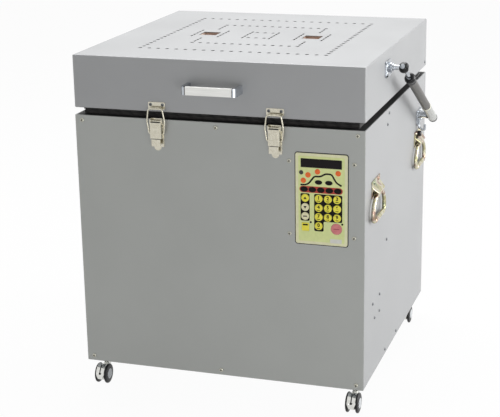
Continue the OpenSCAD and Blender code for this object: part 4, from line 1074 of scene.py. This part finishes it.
add_beside(join("stay_fittings", [tail_cap, release, hub, shade(gland)]), "stay_cylinder", black_plastic)
# Chrome discs set into the black fittings, facing up and forwards, are a painted highlight on them.
UP_FRONT = Vector((-0.1, -0.9, 0.42)).normalized()
gland_highlight_disc = turned("stay_gland_window", along_stay(TUBE_END - 8) + UP_FRONT * 9.5 * MM, UP_FRONT, [
    (0, 4.6), (1.4, 4.2), (2, 2.8)], sides=24)
add_beside(gland_highlight_disc, "stay_cylinder", chrome)

# %% Rod and ball socket
rod = stay_part("stay_rod_bar", [
    (TUBE_END - 180, 7.3), (TUBE_END - 168, 7.3), (TUBE_END - 167.9, ROD_R), (STAY_LEN - 16, ROD_R),
    (STAY_LEN - 15.5, 5.6), (STAY_LEN - 9, 5.6)], sides=28)
fit(rod, "stay_rod", chrome)
socket = turned("rod_socket", LID_PIVOT * MM - spot(8, 0, 0), X, [
    (0, 6.6), (1.5, 8.6), (4, 10.1), (8, 10.6), (12, 10.1), (14.5, 8.6), (16, 6.6)], sides=36)
cut([socket], [turned("bore", LID_PIVOT * MM - spot(10, 0, 0), X, [
    (0, 5.2), (14, 5.2), (19, 7.4), (21, 7.6)], sides=32)])
add_beside(soften(socket, 0.3), "stay_rod", black_plastic)
# A chrome disc on the ball socket stands in for its highlight: a painted highlight.
socket_plug = turned("socket_plug", LID_PIVOT * MM + UP_FRONT * 8.6 * MM, UP_FRONT, [
    (0, 5), (1.8, 4.8), (2.4, 3.2)], sides=28)
add_beside(socket_plug, "stay_rod", chrome)

# %% Studs and brackets
_, stud_y, stud_z = LID_PIVOT
ball = turned("lid_stud", spot(SIDE_X + 1, stud_y, stud_z), X, [
    (0, 8), (3, 8), (3.2, 10), (6, 10), (6.2, 7), (10, 7), (10.2, 5), (19, 4.6), (20, 4.4), (24, 4.4),
    (26, 4.8), (29, 5), (32, 4.8), (34, 4), (35.2, 2.4)], sides=32)
lid_plate = plate("lid_bracket_plate", rounded_outline(46, 32, 6), BRACKET_T, spot(SIDE_X, -107, 643), Y)
rib = block("lid_bracket_rib", (SIDE_X + 1, -112, 642.4), (SIDE_X + 16, -90, 645.6))
nut = turned("lid_nut", spot(SIDE_X + BRACKET_T, stud_y, stud_z), X, [(0, 9.5), (4.5, 9.5)], sides=6)
fit(join("stay_lid_mount", [ball, soften(nut, 0.5), soften(rib, 0.8), soften(lid_plate, 0.7)]),
    "stay_lid_bracket", chrome)
add_beside(screws("stay_lid_screws", pan_head(4, 2, bright_zinc), [
    ((SIDE_X + BRACKET_T, y, z), X, 15 + y) for y, z in ((-123, 650), (-123, 636), (-91, 634))]),
    "stay_lid_bracket")

_, pivot_y, pivot_z = BODY_PIVOT
HOOK_Y = 196
base = plate("casing_bracket_plate", rounded_outline(50, 32, 5), BRACKET_T, spot(SIDE_X, 209, 480), Y)
stud = turned("casing_stud", spot(SIDE_X + 2, pivot_y, pivot_z), X, [
    (0, 9), (4, 9), (4.2, 7), (19.2, 7), (19.4, 5)], sides=32)
pin = turned("casing_pin", spot(SIDE_X + 19, pivot_y, pivot_z), X, [(0, 3.9), (7, 3.9), (8, 3.4)], sides=28)
HOOK = [(4, 490), (4, 458), (17, 452), (17, 466)]
hook_path = rounded_path([spot(SIDE_X + out, HOOK_Y, z) for out, z in HOOK], 8 * MM)
hook = wire("casing_hook", hook_path, 2.6 * MM, sides=3)
fit(join("stay_casing_mount", [stud, pin, hook, soften(base, 0.7)]), "stay_body_bracket", chrome)
knob = turned("stay_stop_knob", spot(SIDE_X, 193, 446), X, [(0, 6), (6, 6.4), (9, 6), (10.5, 4.4)], sides=28)
add_beside(knob, "stay_body_bracket", black_plastic)
add_beside(screws("stay_casing_screws", pan_head(4, 2, bright_zinc), [
    ((SIDE_X + BRACKET_T, y, z), X, 15 + y) for y, z in ((227, 489), (227, 471))]), "stay_body_bracket")
print("gas stay ready")

# %% [markdown]
# ## Casters
# Each caster is a pair of thin wheels on both sides of a bright die-cast hood. The tyre is turned from its
# profile and the hub cap sits in it as a shallow dish. The hood is drawn from the side: round at the top,
# open below, with a collar for the swivel pin. A fender grows from its front and reaches over the inner half
# of both treads, narrower at its lower end. The slot down its middle, which ends in a hole, is cut with a
# dark colour of its own, painted shade in the slot.

# %% Wheels and hoods
AXLE_BACK, AXLE_Z, WHEEL_W = 19, 20, 6
HOOD_HALF, HOOD_R, WEB_HALF = 6.5, 17, 5
FENDER_HALF, FENDER_IN, FENDER_OUT, TAPER_TOP, TAPER = 8.4, 20.4, 21.8, 1.2, 0.9
TYRE = [(0, 11.8), (0.3, 17.2), (1.0, 19.1), (2.1, 19.95), (3.9, 19.95), (5.0, 19.1), (5.7, 17.2), (6, 11.8)]
CAP = [(-0.3, 10.4), (0.5, 10.2), (1.0, 9.4), (0.8, 8.8), (0.8, 4.0), (1.3, 3.4), (1.5, 1.2)]
COLLAR = [(0, 6.4), (4.6, 6.4), (4.9, 8.6), (6, 9), (11.5, 9), (12.6, 8.2)]
AXLE_AT = (-AXLE_BACK, AXLE_Z)
hood_outline = arc(AXLE_AT, HOOD_R, range(90, 221, 10))
hood_outline += [(-22, 12.5), (-15, 13.5), (-6, 18), (1, 24), (6, 31), (7, HOOD_R + AXLE_Z)]
fender_outline = arc(AXLE_AT, FENDER_OUT, range(100, 197, 6)) + arc(AXLE_AT, FENDER_IN, range(196, 99, -6))
web_outline = arc(AXLE_AT, FENDER_IN + 0.4, range(100, 191, 6)) + arc(AXLE_AT, HOOD_R - 1, range(190, 99, -6))

for corner_name, side, end in CORNERS:
    x, y = side * (SIDE_X - 24), end * (BACK_Y - 39)
    axle_y = y - AXLE_BACK
    tyres, caps = [], []
    for wheel in (-1, 1):
        inner, outwards = x + wheel * (HOOD_HALF + 0.4), (wheel, 0, 0)
        tyres.append(turned("tyre", spot(inner, axle_y, AXLE_Z), outwards, TYRE, sides=48))
        caps.append(turned("cap", spot(inner + wheel * WHEEL_W, axle_y, AXLE_Z), outwards, CAP, sides=36))
        caps.append(turned("inner_cap", spot(inner, axle_y, AXLE_Z), (-wheel, 0, 0), [(-0.3, 9), (0.2, 8.6)],
                           sides=28))
    axle = turned("axle", spot(x - HOOD_HALF, axle_y, AXLE_Z), X, [(0, 2.9), (2 * HOOD_HALF, 2.9)], sides=20)
    fit(join(f"tyres_{corner_name}", tyres), f"caster_wheels_{corner_name}", tyre_rubber)
    add_beside(join(f"hub_caps_{corner_name}", caps + [axle]), f"caster_wheels_{corner_name}", hub_plastic)

    hood = plate("hood", hood_outline, 2 * HOOD_HALF, spot(x - HOOD_HALF, y, 0), Y)
    web = plate("web", web_outline, 2 * WEB_HALF, spot(x - WEB_HALF, y, 0), Y)
    fender = plate("fender", fender_outline, 2 * FENDER_HALF, spot(x - FENDER_HALF, y, 0), Y)
    for vertex in fender.data.vertices:
        below = max(0.0, TAPER_TOP - vertex.co.z / MM / AXLE_Z)
        vertex.co.x = x * MM + (vertex.co.x - x * MM) * (1 - TAPER * below)
    hood = join("hood", [web, soften(fender, 0.5), soften(hood, 2.6, segments=3)])
    hood.data.materials.append(cast_zinc)
    # The slot and hole are cut with dark colour as painted shade.
    slot = block("slot", (x - 1.1, y - 45, 27), (x + 1.1, y - 18, 45))
    hole = turned("hole", spot(x, y - 45, 26), Y, [(0, 2.2), (10, 2.2)], sides=24)
    cut_dark(hood, join("cutter", [slot, hole]), use_self=True)
    collar = turned("collar", spot(x, y, 36), Z, COLLAR, sides=32)
    collar.data.materials.append(cast_zinc)
    fit(join(f"caster_hood_{corner_name}", [collar, hood]), f"caster_fork_{corner_name}")
print("casters ready")

# %% [markdown]
# ## Inside: heating coils and thermocouple
# Resistance wire is wound into a coil and laid in the groove of the bricks. The CAD bar has the coil's outer
# size. Here a helix is computed along the same square loop: the point runs round the path's axis once every
# few millimetres. It needs about two thousand points a row, so the wire itself has only four sides.


# %% Helix along a path
def helix(path, radius, pitch, per_turn=8):
    """Points of a helix about a level path in metres."""
    points, travelled = [], 0.0
    step, up = pitch / per_turn, Vector(Z)
    for start, end in zip(path, path[1:]):
        length, way = (end - start).length, (end - start).normalized()
        side_way = way.cross(up)
        while travelled < length:
            turn = 2 * math.pi * (len(points) % per_turn) / per_turn
            around = side_way * math.cos(turn) + Vector((0, 0, math.sin(turn)))
            points.append(start + way * travelled + radius * around)
            travelled += step
        travelled -= length
    return points


COIL_LOW, COIL_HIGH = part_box("heating_elements")
COIL_R, WIRE_R, COIL_PITCH = 4.5, 0.75, 5.0
LEAD_X, LEAD_R, LEAD_FRONT_Y = 15, 1.7, COIL_LOW.y / MM
COIL_LOWEST, COIL_RISE = 271, 85.67
coil_reach = COIL_HIGH.y / MM - COIL_R
coil_levels = [COIL_LOWEST + row * COIL_RISE for row in range(3)]
wires = []
for z in coil_levels:
    corners = [(-LEAD_X, -coil_reach), (-coil_reach, -coil_reach), (-coil_reach, coil_reach),
               (coil_reach, coil_reach), (coil_reach, -coil_reach), (LEAD_X, -coil_reach)]
    loop = rounded_path([spot(x, y, z) for x, y in corners], 10 * MM, steps=8)
    coil = helix(loop, (COIL_R - WIRE_R) * MM, COIL_PITCH * MM)
    wires.append(wire("coil", coil, WIRE_R * MM, sides=0))
    for x in (-LEAD_X, LEAD_X):
        wires.append(wire("lead", [spot(x, -coil_reach, z), spot(x, LEAD_FRONT_Y, z)], LEAD_R * MM, sides=2))
fit(join("wound_elements", wires), "heating_elements", element_wire)

PROBE_X, PROBE_Z, PROBE_TIP_Y, BOARD_Y = -60, 313.8, -122, -234
HEAD_HALF_W, HEAD_HALF_H, HEAD_OUT = 15, 10, 14
PROBE_LEN = PROBE_TIP_Y - BOARD_Y
probe = turned("probe", spot(PROBE_X, BOARD_Y - 2, PROBE_Z), Y, [
    (0, 3), (PROBE_LEN - 1, 3), (PROBE_LEN + 1, 2.4), (PROBE_LEN + 2, 1)], sides=24)
head = block("probe_head", (PROBE_X - HEAD_HALF_W, BOARD_Y - HEAD_OUT, PROBE_Z - HEAD_HALF_H),
             (PROBE_X + HEAD_HALF_W, BOARD_Y, PROBE_Z + HEAD_HALF_H))
fit(join("thermocouple_probe", [probe, soften(head, 1.5, segments=3)]), "thermocouple", shelf_cordierite)
print("coils wound:", len(coil), "points a row")

# %% [markdown]
# ## Brick chamber
# The walls are slabs cut from insulating brick, with a groove for each coil. The joints between bricks show
# as thin slits. A copy of the CAD walls would do, but it merges four slabs into faces that no bevel gets
# right, so each slab is drawn as a box here and cut. Corners of soft brick crumble early, which needs a wide
# bevel.

# %% Slabs with grooves and joints
BRICK_LOW, BRICK_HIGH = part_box("chamber_bricks")
BRICK_T, SLAB_GAP, JOINT_PLACES, JOINT_HALF, JOINT_D, GROOVE_GAP = 64, 0.2, (-75, 75), 0.6, 1.6, 0.3
brick_out, brick_top, floor_top = BRICK_HIGH.x / MM, BRICK_HIGH.z / MM, BRICK_LOW.z / MM + BRICK_T
chamber_half, groove_out = brick_out - BRICK_T, coil_reach + COIL_R + GROOVE_GAP
slabs = []
for side in (-1, 1):
    near, far = sorted((side * chamber_half, side * brick_out))
    inner = chamber_half - SLAB_GAP
    slabs.append(block("slab", (-brick_out, near, floor_top), (brick_out, far, brick_top)))
    slabs.append(block("slab", (near, -inner, floor_top), (far, inner, brick_top)))
cutters = [block("groove", (-groove_out, -groove_out, z - COIL_R - GROOVE_GAP),
                 (groove_out, groove_out, z + COIL_R + GROOVE_GAP)) for z in coil_levels]
for place in JOINT_PLACES:
    for wall in (-chamber_half, chamber_half):
        wide, deep = (place - JOINT_HALF, place + JOINT_HALF), (wall - JOINT_D, wall + JOINT_D)
        for x_range, y_range in ((wide, deep), (deep, wide)):
            cutters.append(block("joint", (x_range[0], y_range[0], floor_top - 1),
                                 (x_range[1], y_range[1], brick_top + 1)))
cut(slabs, cutters)
slabs.append(box_between("slab", BRICK_LOW, spot(brick_out, brick_out, floor_top - SLAB_GAP)))
bricks = join("brick_slabs", [soften(slab, 1.0) for slab in slabs])
fit(bricks, "chamber_bricks", firebrick)
print("brick slabs:", len(bricks.data.polygons), "faces")

# %% [markdown]
# ## Floor, world and lamps
# The object stands on a plain pale floor in soft light. The photograph's background is pure white, so the
# floor and the world look white to the camera and in reflections, while the light that they give stays plain.
# Three large soft lamps do the rest: one overhead, one on the right towards the back, and a weak one low
# at the front.


# %% Floor and world
def where_seen(owner, lit, seen):
    """One value for plain lighting, and another for what the camera or a reflection sees."""
    path = add_node(owner, "ShaderNodeLightPath").outputs
    return spread(owner, larger(owner, path["Is Camera Ray"], path["Is Glossy Ray"]), lit, seen)


FLOOR_SIZE, FLOOR_WHITE, WORLD_LIGHT = 30, 0.96, 0.32
clear()
bpy.ops.mesh.primitive_plane_add(size=FLOOR_SIZE, location=(0, 0, 0))
floor = bpy.context.object
floor.name = "pale_floor"
floor_paint, place = new_material("pale_floor_paint", "#dcdcdc", 0.9)
specks = noise(floor_paint, place, 400)
link(floor_paint, "Base Color", tones(floor_paint, specks, (0.3, "#d2d2d2"), (0.7, "#dadada")))
paint_nodes = floor_paint.node_tree.nodes
glow = add_node(floor_paint, "ShaderNodeEmission", Strength=1.0).outputs["Emission"]
blend = add_node(floor_paint, "ShaderNodeMixShader", Fac=where_seen(floor_paint, 0.0, FLOOR_WHITE),
                 numbered={1: paint_nodes["Principled BSDF"].outputs["BSDF"], 2: glow})
floor_paint.node_tree.links.new(blend.outputs["Shader"], paint_nodes["Material Output"].inputs["Surface"])
floor.data.materials.append(floor_paint)

world = bpy.data.worlds.new("white_studio")
bpy.context.scene.world = world
world.use_nodes = True
backdrop = world.node_tree.nodes["Background"]
backdrop.inputs["Color"].default_value = (1, 1, 1, 1)
world.node_tree.links.new(where_seen(world, WORLD_LIGHT, 1.0), backdrop.inputs["Strength"])
bpy.context.scene.view_settings.view_transform = "Standard"
print("floor and world ready")

# %% Lamps
AIM_AT = Vector((0, 0, 0.35))
for name, place, size, watts in (
        ("overhead_softbox", (-0.3, 1.0, 2.8), 2.0, 78),
        ("right_softbox", (2.8, 1.0, 1.1), 2.2, 90),
        ("front_fill", (1.4, -2.1, 0.12), 1.0, 17)):
    clear()
    bpy.ops.object.light_add(type="AREA", location=place)
    lamp = bpy.context.object
    lamp.name = name
    lamp.data.size = size
    lamp.data.energy = watts
    lamp.rotation_euler = (AIM_AT - Vector(place)).to_track_quat("-Z", "Y").to_euler()
    print(name, "of", watts, "W")
